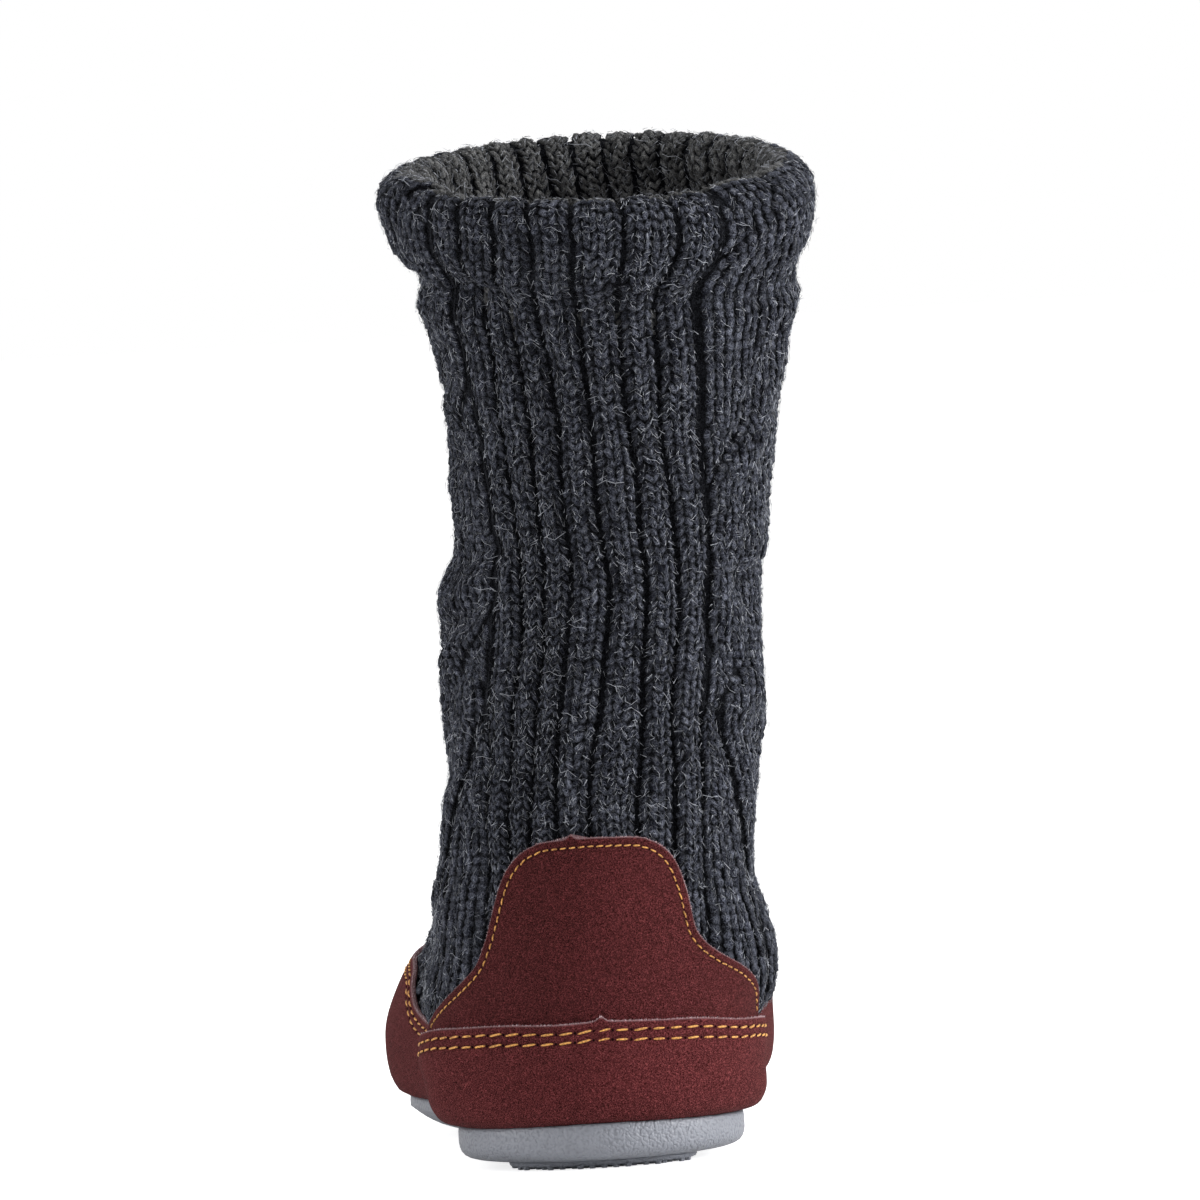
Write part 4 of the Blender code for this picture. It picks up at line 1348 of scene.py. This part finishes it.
def stitchTree():
    # evenly spaced stitches along every line, each a thin arched thread whose ends go down
    sizes = {"Pitch": 0.0045, "Length": 0.0036, "Radius": 0.00035, "Arch": 0.5, "Slant": 0.0}
    tree, given = geometryTree("threadStitches", sizes)
    line = nodeIn(tree, "GeometryNodeMeshToCurve", {"Mesh": given["Geometry"]})
    spaced = nodeIn(tree, "GeometryNodeResampleCurve", {"Curve": line.outputs[0], "Length": given["Pitch"]},
                    mode="LENGTH")
    thread, at = ballIn(tree, 6, 8)
    # an even thread with blunt ends: the round section stays wide until near the poles
    toPole = mathIn(tree, "ABSOLUTE", at["Z"])
    sink = mathIn(tree, "MULTIPLY", mathIn(tree, "POWER", toPole, 2.2), given["Arch"])
    level = mathIn(tree, "MAXIMUM", mathIn(tree, "SUBTRACT", 1.0, mathIn(tree, "POWER", at["Z"], 2.0)), 0.02)
    gain = mathIn(tree, "DIVIDE", 1.0, mathIn(tree, "POWER", mathIn(tree, "SQRT", level), 0.55))
    tall = mathIn(tree, "SUBTRACT", mathIn(tree, "MULTIPLY", at["Y"], gain), sink)
    shape = joinIn(tree, mathIn(tree, "MULTIPLY", at["X"], gain), at["Z"], tall)
    vary = randomIn(tree, -1.0, 1.0, given["Seed"])
    wobble = joinIn(tree, z=mathIn(tree, "MULTIPLY_ADD", vary, 0.08, given["Slant"]))
    tangent = nodeIn(tree, "GeometryNodeInputTangent").outputs[0]
    half = mathIn(tree, "MULTIPLY", given["Length"], mathIn(tree, "MULTIPLY_ADD", vary, 0.06, 0.5))
    size = joinIn(tree, given["Radius"], half, given["Radius"])
    rotation = turnIn(tree, standingIn(tree, tangent), wobble)
    return layIn(tree, given, spaced.outputs[0], bentIn(tree, thread, shape), rotation, size)


threads = stitchTree()


def holeShadeMaterial():
    material, _, shader, _ = startMaterial("needleHoleShade", 0.95, specular=0.05)
    # near black: painted shade inside a needle hole
    shader.inputs["Base Color"].default_value = (0.006, 0.002, 0.002, 1)
    return material


needleHoleShade = holeShadeMaterial()


def pierce(name, points, lifts, size):
    # a small dent in every gap between two stitches, near black with the painted shade of a needle hole
    length = runLength(points)
    count = int(length[-1] / (size["pitch"] * mm))
    spots, up = pointsAlong((np.arange(count) + 0.5) / count * length[-1], length, points, lifts)
    up, along = unitLong(up), unitLong(np.gradient(spots, axis=0))
    dents = np.tile(np.array(stitching["holeSize"]) * size["hole"] * mm, (count, 1))
    carrier = carrierOf(spots - up * 0.03 * mm, {"lift": up, "along": along, "size": dents},
                        {"tone": np.ones(count)})
    return grown(name, carrier, yarns, {"Arch": 0.0, "Jitter": 0.0, "Seed": 1, "Material": needleHoleShade})


def sew(name, points, lifts, slot, size):
    pierce(name.replace("Stitches", "Holes"), points, lifts, size)
    carrier = carrierOf(points, {"lift": lifts}, edges=[(i, i + 1) for i in range(len(points) - 1)])
    settings = {key.capitalize(): size[key] * mm for key in ("pitch", "length", "radius")}
    settings.update({key.capitalize(): stitching[key] for key in ("arch", "slant", "seed")})
    return grown(name, carrier, threads, {**settings, "Material": stitchThread})


def skinAndLift(turn, heights, off):
    # points on the suede and the way out of it
    points = upperSkin(turn, heights, off)
    return placed(points), upperSkin(turn, heights, off + 1.0) - points


def foxingStitches(name, firstTurn, lastTurn, depth, heelPanel, slot):
    turn = np.radians(np.linspace(firstTurn, lastTurn, 260))
    depthAt = depth + 0.12 * np.sin(np.degrees(turn) / 6.0 + depth)
    top = edgeRow(turn)
    perStep = np.linalg.norm(upperPoint(turn, top) - upperPoint(turn, top - 1.0), axis=-1)
    heights = top - depthAt / np.maximum(perStep, 0.3)
    off = foxingOut(turn, np.full(len(turn), depth), heelPanel) + last["suede"] - 0.1
    return sew(name, *skinAndLift(turn, heights, off), slot, stitching["panels"])


for row, depth in enumerate(foxing["stitchRows"]):
    foxingStitches(f"heelStitches{row + 1}", -seam + 0.9, seam - 0.9, depth, True, "heel_foxing")
    foxingStitches(f"toeStitches{row + 1}", seam + 0.8, 360 - seam - 0.8, depth, False, "toe_foxing")


def lineAcross(line):
    # the direction square to a flat line, towards the inside of the outline
    step = unitLong(np.gradient(line, axis=0))
    return np.stack([step[:, 1], -step[:, 0]], -1)


def patchStitches():
    line = patchLine + lineAcross(patchLine) * patch["stitchIn"]
    line = line[line[:, 1] > patch["stitchFrom"]]
    turn = np.radians([turnAtArc(x, height) for x, height in line])
    off = np.full(len(turn), last["gap"] + last["suede"] - 0.1)
    return sew("patchStitches", *skinAndLift(turn, line[:, 1], off), "heel_patch", stitching["patch"])


patchStitches()
print("stitches sewn")


# Short pale hairs stand along the cut suede
fringe = dict(
    spacing=0.19, uneven=0.08, length=0.42, width=0.09, sunk=0.12, spread=32.0, seed=8,
    rows=dict(Out=0.35, Mid=0.9),       # how deep in the cut edge they stand
    dark=(0.36, 0.17, 0.18), light=(0.95, 0.78, 0.82),
)
rawHairs = hairMaterial("rawHairs", 0.9, 0.1, fringe["dark"], fringe["light"])


def fringeTree():
    # a thin three-sided spike on every point, leaning by chance
    tree, given = geometryTree("edgeHairs", {"Spread": 25.0})
    spike = {"Vertices": 3, "Radius Top": 0.0, "Radius Bottom": 1.0, "Depth": 1.0}
    hair = nodeIn(tree, "GeometryNodeMeshCone", spike)
    spread = mathIn(tree, "RADIANS", given["Spread"])
    lean = nodeIn(tree, "FunctionNodeRandomValue", {0: (-1, -1, -3), 1: (1, 1, 3), "Seed": given["Seed"]},
                  data_type="FLOAT_VECTOR")
    tilt = vectorIn(tree, "MULTIPLY", lean.outputs[0], joinIn(tree, spread, spread, 1.0))
    return layIn(tree, given, given["Geometry"], hair.outputs[0], turnIn(tree, standingIn(tree), tilt),
                 namedVector(tree, "size"))


hairs = fringeTree()


def fray(name, points, lifts):
    # the cut edge's points and lifts are in millimetres, and the hairs start just under it
    length = runLength(points)
    at = np.arange(0.1, length[-1], fringe["spacing"])
    at = np.clip(at + rng.normal(0, fringe["uneven"], len(at)), 0, length[-1])
    spots, up = pointsAlong(at, length, points, lifts)
    up = unitLong(up)
    tall = fringe["length"] * (0.35 + 1.2 * rng.random(len(at)) ** 1.5)
    wide = fringe["width"] * (0.8 + 0.5 * rng.random(len(at)))
    side = unitLong(np.cross(up, np.gradient(spots, axis=0)))
    spots = spots - up * fringe["sunk"] + side * rng.normal(0, fringe["uneven"], (len(at), 1))
    return plant(name, spots, up, wide, tall, rng.random(len(at)), fringe, rawHairs)


def plant(name, spots, up, wide, tall, tone, look, material):
    # a hair on every spot, in millimetres
    vectors = {"lift": up, "size": np.stack([wide, wide, tall], -1) * mm}
    settings = {"Spread": look["spread"], "Seed": look["seed"], "Material": material}
    return grown(name, carrierOf(placed(spots), vectors, {"tone": tone}), hairs, settings)


def frayFoxing(name, firstTurn, lastTurn, heelPanel):
    turn = np.radians(np.linspace(firstTurn, lastTurn, 900))
    top = topRow(turn)
    none = np.zeros(len(turn))
    for part, deep in fringe["rows"].items():
        off = foxingOut(turn, none, heelPanel) + last["suede"] - deep
        points = upperSkin(turn, top, off)
        lifts = points - upperSkin(turn, top - 1.0, off) + 0.3 * (upperSkin(turn, top, off + 1.0) - points)
        fray(name + part, points, lifts)


def frayPatch():
    line = patchLine[patchLine[:, 1] > patch["hairsFrom"]]
    out = -lineAcross(line)
    notch = patch["notch"] * peak(line[:, 0] - patch["notchAt"], patch["notchWidth"]) * (line[:, 1] > 80)
    high, top = line[:, 1] + notch, patchSides[-1][0]
    turn, turnOut = (np.radians([turnAtArc(x, min(height, top)) for x, height in row])
                     for row in (line, line + out))
    off = np.full(len(turn), last["gap"] + last["suede"] - fringe["rows"]["Out"])
    points = upperSkin(turn, high, off)
    fray("patchHairs", points, upperSkin(turnOut, high + out[:, 1], off) - points)


frayFoxing("heelHairs", -seam + 0.5, seam - 0.5, True)
frayFoxing("toeHairs", seam, 360 - seam, False)
frayPatch()
print("edges frayed")


sole = dict(
    colour=(0.258, 0.270, 0.306), grain=1500.0, bump=0.0003, columns=240, padColumns=120,
    bottom=2.2, ends=(36.0, 58.0),      # how far its heel and toe are rounded
    section=(       # of the body: height over its bottom, and inset
        (0.0, 7.5), (0.05, 5.4), (0.3, 3.9), (0.8, 2.4), (1.5, 1.3), (2.4, 0.6), (3.4, 0.2), (4.6, 0.0),
        (6.2, 0.0),
    ),
    padSection=(    # of a tread pad: height, and inset
        (0.8, 1.5), (0.7, 0.9), (0.95, 0.35), (1.5, 0.1), (1.9, 0.0), (2.1, 0.2), (2.15, 0.9), (4.8, 1.2),
    ),
    lip=((-1.4, 0.0), (-0.6, 0.12), (-0.15, 0.45), (-0.05, 0.9)),
    # the same for its upper edge at the suede
    topInset=2.2, chamfer=7.5,
    heelPad=dict(start=9.0, end=80.0, half=23.8, corner=17.0),
    forePad=dict(start=120.0, end=240.0, half=27.5, corner=27.0),
    lugPitch=3.0, lugInset=1.3, lugSize=1.95, lugTall=0.95,
)


def rubberMaterial(name, colour):
    material, tree, shader, vector = startMaterial(name, 0.5, specular=0.45)
    grain = groupIn(tree, grainGroup, vector, scale=sole["grain"])
    base = blendColours(tree, grain["Crease"], dimmed(colour, 1.05), dimmed(colour, 0.8))
    tint = blendColours(tree, noiseIn(tree, vector, 60.0, 3.0), dimmed(colour, 0.93), dimmed(colour, 1.05))
    tree.links.new(blendColours(tree, 0.35, base, tint), shader.inputs["Base Color"])
    tree.links.new(rangeIn(tree, grain["Crease"], 0.0, 1.0, 0.36, 0.6), shader.inputs["Roughness"])
    bumpInto(tree, shader, grain["Height"], 0.75, sole["bump"])
    return material


soleRubber = rubberMaterial("soleRubber", sole["colour"])
# the tread's rubber is the sole's made lighter: painted light in the shade under the sole
treadRubberLit = rubberMaterial("treadRubberLit", dimmed(sole["colour"], 1.2))


def fullTurn(columns):
    return np.arange(columns) * 2 * np.pi / columns


def soleRing(height, inset, arched=0.0):
    halves = [half - inset for half in last["soleHalves"]]
    spec = [height, inset, height, last["soleLength"] - inset, *halves, *sole["ends"]]
    points = ringAt(fullTurn(sole["columns"]), spec)
    along = eased(points[:, 1], last["archFrom"], last["archTo"])
    points[:, 2] += arched * 4 * along * (1 - along)
    return points


def suedeAbove(points):
    # height of the suede's outside over these points
    turn = np.radians(np.arange(0, 360, 1.5))
    heights = np.concatenate([np.arange(12.5, 14.0, 0.12), np.arange(14.0, 18.0, 0.4)])
    off = np.full(len(turn), last["gap"] + last["suede"])
    skin = np.concatenate([upperSkin(turn, height, off) for height in heights])
    return np.array([skin[np.argmin(((skin[:, :2] - point[:2]) ** 2).sum(1)), 2] for point in points])


def makeSole():
    loops = []
    for up, inset in sole["section"]:
        lift = last["archRise"] * (1 - eased(up, 1.5, 5.0))
        plain = soleRing(sole["bottom"] + up, inset, lift)
        # the front's lower edge runs in more, mostly on the lateral side
        cut = soleRing(sole["bottom"] + up, inset + sole["chamfer"] * (1 - up / sole["section"][-1][0]), lift)
        lateral = plain[:, 0] < smooth(footCurve, plain[:, 1])
        share = eased(plain[:, 1], 95.0, 135.0) * np.where(lateral, 1.0, 0.45)
        loops.append(plain + (cut - plain) * share[:, None])
    for rise, inset in sole["lip"]:
        loop = soleRing(last["soleTop"], inset)
        loop[:, 2] = suedeAbove(soleRing(last["soleTop"], 0.5)) + rise
        loops.append(loop)
    loops.append(soleRing(last["soleTop"], sole["topInset"]))
    return loft("soleBody", loops, soleRubber, ["outsole"])


def padRing(size, height, inset):
    half, corner = size["half"] - inset, size["corner"]
    spec = [height, size["start"] + inset, height, size["end"] - inset, *(half,) * 4, corner, corner]
    return ringAt(fullTurn(sole["padColumns"]), spec)


def makePad(name, size):
    loops = [padRing(size, height, inset) for height, inset in sole["padSection"]]
    return loft(name, loops, treadRubberLit)


def lugTree():
    # a small rounded stud on every point, flat side down
    tree, given = geometryTree("treadLugs", {"Size": 0.0017, "Depth": 0.001})
    shape = {"Vertices": 6, "Side Segments": 1, "Radius Top": 0.5, "Radius Bottom": 0.38, "Depth": 1.0}
    stud = nodeIn(tree, "GeometryNodeMeshCone", shape, fill_type="NGON")
    spin = joinIn(tree, z=randomIn(tree, 0.0, 0.4, given["Seed"]))
    size = joinIn(tree, given["Size"], given["Size"], given["Depth"])
    return layIn(tree, given, given["Geometry"], stud.outputs["Mesh"], spin, size)


lugs = lugTree()


def makeLugs(name, size):
    pitch, start, end, corner = sole["lugPitch"], size["start"], size["end"], size["corner"]
    points = []
    for j, y in enumerate(np.arange(start + 1.6, end - 1.4, pitch * 0.866)):
        half = size["half"] * float(closing(y - start, corner) * closing(end - y, corner))
        centre = float(smooth(footCurve, y))
        for x in np.arange(-size["half"] - pitch, size["half"] + pitch, pitch) + pitch / 2 * (j % 2):
            if abs(x) < half - sole["lugInset"]:
                points.append((centre + x, y, 0.0))
    settings = {"Size": sole["lugSize"] * mm, "Depth": sole["lugTall"] * mm, "Seed": 2,
                "Material": treadRubberLit}
    return grown(name, carrierOf(placed(points)), lugs, settings)


makeSole()
for padName, padSize in (("heelPad", sole["heelPad"]), ("forePad", sole["forePad"])):
    makePad(padName, padSize)
    makeLugs(padName + "Lugs", padSize)
print("sole moulded")


insole = dict(
    colour=(0.045, 0.045, 0.048), columns=160,
    section=(       # height over the sole, and inset
        (0.0, 4.4), (0.2, 3.9), (2.0, 3.0), (3.3, 2.1), (3.8, 2.5), (4.0, 3.6), (4.2, 8.0), (4.6, 16.0),
    ),
)


def insoleMaterial():
    material, tree, shader, vector = startMaterial("insoleFelt", 0.95, sheen=0.3, specular=0.1)
    nap = groupIn(tree, napGroup, vector, grain=1300.0, cloud=50.0)
    mixed = blendColours(tree, nap["Grain"], dimmed(insole["colour"], 0.5), dimmed(insole["colour"], 1.7))
    tree.links.new(mixed, shader.inputs["Base Color"])
    bumpInto(tree, shader, nap["Height"], 0.8, 0.0005)
    return material


def makeInsole():
    bottom, first = last["soleTop"] + last["gap"], rings[0]
    loops = []
    for up, inset in insole["section"]:
        halves = [half - inset for half in first[4:8]]
        spec = [bottom + up, first[1] + inset, bottom + up, first[3] - inset, *halves, *first[8:]]
        loops.append(ringAt(fullTurn(insole["columns"]), spec))
    return loft("footbed", loops, insoleMaterial(), ["insole"])


makeInsole()
print("insole laid")


fuzz = dict(
    count=3900, seeds=(11, 12), radius=0.075, length=2.6, off=0.55,
    curls=(     # start, its pull, the end's pull and end of each kind of fibre, one long
        ((-0.5, 0.0, -0.05), (-0.2, 0.3, 0.10), (0.25, -0.3, 0.14), (0.5, 0.1, -0.02)),
        ((-0.35, 0.0, -0.05), (-0.1, 0.55, 0.12), (0.5, 0.4, 0.16), (0.2, -0.25, 0.0)),
        ((-0.5, 0.0, -0.05), (-0.3, -0.25, 0.16), (0.1, 0.2, 0.18), (0.45, -0.1, 0.08)),
        ((-0.2, 0.0, -0.05), (0.6, 0.5, 0.12), (-0.6, 0.5, 0.2), (0.15, -0.1, 0.1)),
        ((-0.3, 0.0, -0.05), (-0.1, 0.15, 0.15), (0.1, -0.1, 0.32), (0.35, 0.05, 0.3)),
        ((-0.4, 0.1, -0.05), (0.0, -0.5, 0.12), (0.3, 0.5, 0.14), (0.4, -0.2, 0.0)),
    ),
    ribShares=5, cableShares=13, firstWay=27.0, pastCrest=34.0, clear=1.5,
)


def fibreTree():
    # scatters curled fibres over the faces of the wool
    tree, given = geometryTree("looseFibres", {"Density": 60000.0, "Radius": 0.00004, "Length": 0.005})
    seed = given["Seed"]
    scattered = nodeIn(tree, "GeometryNodeDistributePointsOnFaces",
                       {"Mesh": given["Geometry"], "Density": given["Density"], "Seed": seed}).outputs
    # a thin tube that tapers to three tenths at both ends
    ring = nodeIn(tree, "GeometryNodeCurvePrimitiveCircle", {"Resolution": 3, "Radius": 1.0}, mode="RADIUS")
    along = nodeIn(tree, "GeometryNodeSplineParameter").outputs["Factor"]
    toEnd = mathIn(tree, "POWER", mathIn(tree, "MULTIPLY_ADD", along, 2.0, -1.0), 2.0)
    slim = mathIn(tree, "DIVIDE", given["Radius"], given["Length"])
    taper = mathIn(tree, "MULTIPLY", mathIn(tree, "MULTIPLY_ADD", toEnd, -0.7, 1.0), slim)
    bank = nodeIn(tree, "GeometryNodeGeometryToInstance")
    for start, startPull, endPull, end in fuzz["curls"]:
        bends = {"Resolution": 3, "Start": start, "Start Handle": startPull, "End Handle": endPull,
                 "End": end}
        curve = nodeIn(tree, "GeometryNodeCurvePrimitiveBezierSegment", bends)
        parts = {"Curve": curve.outputs[0], "Profile Curve": ring.outputs[0], "Scale": taper,
                 "Fill Caps": True}
        tube = nodeIn(tree, "GeometryNodeCurveToMesh", parts)
        smoothTube = nodeIn(tree, "GeometryNodeSetShadeSmooth", {"Geometry": tube.outputs[0]})
        tree.links.new(smoothTube.outputs[0], bank.inputs[0])
    # most are short and a few are long
    drawn = randomIn(tree, 0.0, 1.0, seed)
    sizeBy = mathIn(tree, "MULTIPLY_ADD", mathIn(tree, "POWER", drawn, 9.0), 1.6,
                    mathIn(tree, "MULTIPLY_ADD", drawn, 0.5, 0.6))
    spin = joinIn(tree, randomIn(tree, -0.45, 0.45, seed), 0.0, randomIn(tree, -3.1416, 3.1416, seed))
    kinds = {4: 0, 5: len(fuzz["curls"]) - 1, "Seed": seed}
    pick = nodeIn(tree, "FunctionNodeRandomValue", kinds, data_type="INT")
    toned = keepIn(tree, scattered["Points"], "tone", mathIn(tree, "POWER", drawn, 1.6))
    return layIn(tree, given, toned, bank.outputs[0], turnIn(tree, scattered["Rotation"], spin),
                 mathIn(tree, "MULTIPLY", sizeBy, given["Length"]),
                 **{"Pick Instance": True, "Instance Index": pick.outputs[2]})


def fuzzField():
    # the open wool as a plain skin, just on top of the ribs
    quads, points = [], []
    ways = np.arange(fuzz["firstWay"], crestWay + fuzz["pastCrest"], 3.0)
    for unit, kind in enumerate(unitKinds):
        first, count = len(points), fuzz["ribShares" if kind == "rib" else "cableShares"]
        shares = [np.full(len(ways), share) for share in np.linspace(0.06, 0.94, count)]
        skin = np.stack([wallAt(unit, share, ways, fuzz["off"]) for share in shares], 1)
        points += list(skin.reshape(-1, 3))
        free = suedeFree(np.stack([unitTurn(unit, share, ways) for share in shares], 1), ways[:, None])
        for r in range(len(ways) - 1):
            for c in range(count - 1):
                if min(free[r, c], free[r, c + 1], free[r + 1, c]) > fuzz["clear"]:
                    a = first + r * count + c
                    quads.append((a, a + 1, a + 1 + count, a + count))
    return placed(np.array(points)), quads


def makeFuzz():
    points, quads = fuzzField()
    tree = fibreTree()
    settings = {"Length": fuzz["length"] * mm, "Radius": fuzz["radius"] * mm, "Material": woolFibre}
    for part, seed in zip("AB", fuzz["seeds"]):
        carrier = carrierOf(points, faces=quads)
        area = sum(face.area for face in carrier.data.polygons)
        settings.update({"Density": fuzz["count"] / area, "Seed": seed})
        piece = grown("looseFibres" + part, carrier, tree, settings)
        print("loose fibres:", len(piece.data.polygons), "faces over", round(area, 4), "m2")


makeFuzz()


# Short straight fibres stand off the yarn along its run
stray = dict(
    count=46000, length=(1.0, 2.8), width=(0.05, 0.10), sway=27.0, wild=0.13, rise=0.14, riseSpread=0.12,
    off=0.75, scatter=0.7, keepNear=0.7, spread=4.0, seed=3,
)


def makeStray():
    count = stray["count"]
    chosen = rng.integers(0, len(openLegs[0]), count)
    middle, along, lift = (values[chosen] for values in openLegs)
    angle = np.radians(rng.normal(0, stray["sway"], count))
    angle = np.where(rng.random(count) < stray["wild"], rng.random(count) * 2 * np.pi, angle)[:, None]
    flip = np.where(rng.random((count, 1)) < 0.5, -1.0, 1.0)
    flat = flip * (along * np.cos(angle) + np.cross(along, lift) * np.sin(angle))
    way = unitLong(flat + lift * rng.normal(stray["rise"], stray["riseSpread"], (count, 1)))
    limits = (stray["length"], stray["width"])
    tall, wide = (low + (high - low) * rng.random(count) ** 1.5 for low, high in limits)
    off = lift * stray["off"]
    spots = middle + off - way * tall[:, None] * 0.4 + rng.normal(0, stray["scatter"], (count, 3))
    # the scatter keeps near the wool's surface
    spots -= lift * ((spots - middle - off) * lift).sum(-1, keepdims=True) * stray["keepNear"]
    tone = rng.random(count) ** 1.5
    return plant("strayHairs", spots, way, wide, tall, tone, stray, woolFibre)


makeStray()
print("stray hairs laid")


studio = dict(
    floor=(0.93, 0.93, 0.93), floorHalf=30.0, floorGlow=0.75, backdrop=1.0, world=0.38,
    lights=(    # name, place, what it looks at, width and power
        ("key", (2.3, -0.6, 0.9), (0, -0.05, 0.12), 1.3, 73.0),
        ("fill", (-2.3, -0.5, 0.9), (0, -0.05, 0.12), 1.4, 26.5),
        ("front", (-0.3, -2.2, 1.3), (0, -0.05, 0.12), 1.4, 3.0),
        ("top", (0.1, 0.3, 2.0), (0, 0, 0.1), 1.8, 9.0),
    ),
)
view = dict(
    pitch=1.73, roll=3.4, distance=3.5, target=(-0.0051, -0.130, 0.130), lens=420.0, shift=(0.0167, 0.0433),
)


def cameraSees(tree, end, elsewhere, seen):
    # one shader for the camera and another for all other light
    path = nodeIn(tree, "ShaderNodeLightPath")
    either = nodeIn(tree, "ShaderNodeMixShader", {0: path.outputs["Is Camera Ray"], 1: elsewhere, 2: seen})
    tree.links.new(either.outputs[0], tree.nodes[end].inputs["Surface"])


def makeFloor():
    mesh = bpy.data.meshes.new("floor")
    half = studio["floorHalf"]
    corners = [(x * half, y * half, 0) for x, y in ((-1, -1), (1, -1), (1, 1), (-1, 1))]
    mesh.from_pydata(corners, [], [(0, 1, 2, 3)])
    material = bpy.data.materials.new("paleFloor")
    tree, shader = nodesOf(material, "Principled BSDF")
    shader.inputs["Base Color"].default_value = (*studio["floor"], 1)
    shader.inputs["Roughness"].default_value = 0.9
    glow = nodeIn(tree, "ShaderNodeEmission", {"Strength": studio["floorGlow"]})
    glowing = nodeIn(tree, "ShaderNodeAddShader", {0: shader.outputs[0], 1: glow.outputs[0]})
    cameraSees(tree, "Material Output", shader.outputs[0], glowing.outputs[0])
    mesh.materials.append(material)
    floor = bpy.data.objects.new("floor", mesh)
    scene.collection.objects.link(floor)


def addLight(name, place, target, size, power):
    light = bpy.data.lights.new(name, "AREA")
    light.size, light.energy = size, power
    lamp = bpy.data.objects.new(name, light)
    lamp.location = place
    lamp.rotation_euler = (Vector(target) - Vector(place)).to_track_quat("-Z", "Y").to_euler()
    scene.collection.objects.link(lamp)


def setWorld():
    # a soft even light, and a plain white backdrop where nothing else is seen
    world = bpy.data.worlds.new("studio")
    tree, soft = nodesOf(world, "Background")
    soft.inputs["Color"].default_value = (1, 1, 1, 1)
    soft.inputs["Strength"].default_value = studio["world"]
    white = nodeIn(tree, "ShaderNodeBackground", {"Color": (1, 1, 1, 1), "Strength": studio["backdrop"]})
    cameraSees(tree, "World Output", soft.outputs[0], white.outputs[0])
    scene.world = world


def setCamera():
    # from behind, level with the shaft and nearly flat, with the small roll of the view
    pitch, roll = math.radians(view["pitch"]), math.radians(view["roll"])
    ahead = Vector((0, math.cos(pitch), -math.sin(pitch)))
    side = Vector((1, 0, 0))
    above = side.cross(ahead)
    right = side * math.cos(roll) - above * math.sin(roll)
    up = side * math.sin(roll) + above * math.cos(roll)
    data = bpy.data.cameras.new("camera")
    data.sensor_width, data.lens = 36.0, view["lens"]
    data.shift_x, data.shift_y = view["shift"]
    camera = bpy.data.objects.new("camera", data)
    turned = Matrix((right, up, -ahead)).transposed().to_4x4()
    camera.matrix_world = Matrix.Translation(Vector(view["target"]) - ahead * view["distance"]) @ turned
    scene.collection.objects.link(camera)
    scene.camera = camera


makeFloor()
for lamp in studio["lights"]:
    addLight(*lamp)
setWorld()
setCamera()
scene.view_settings.view_transform = "Standard"
print("studio ready")
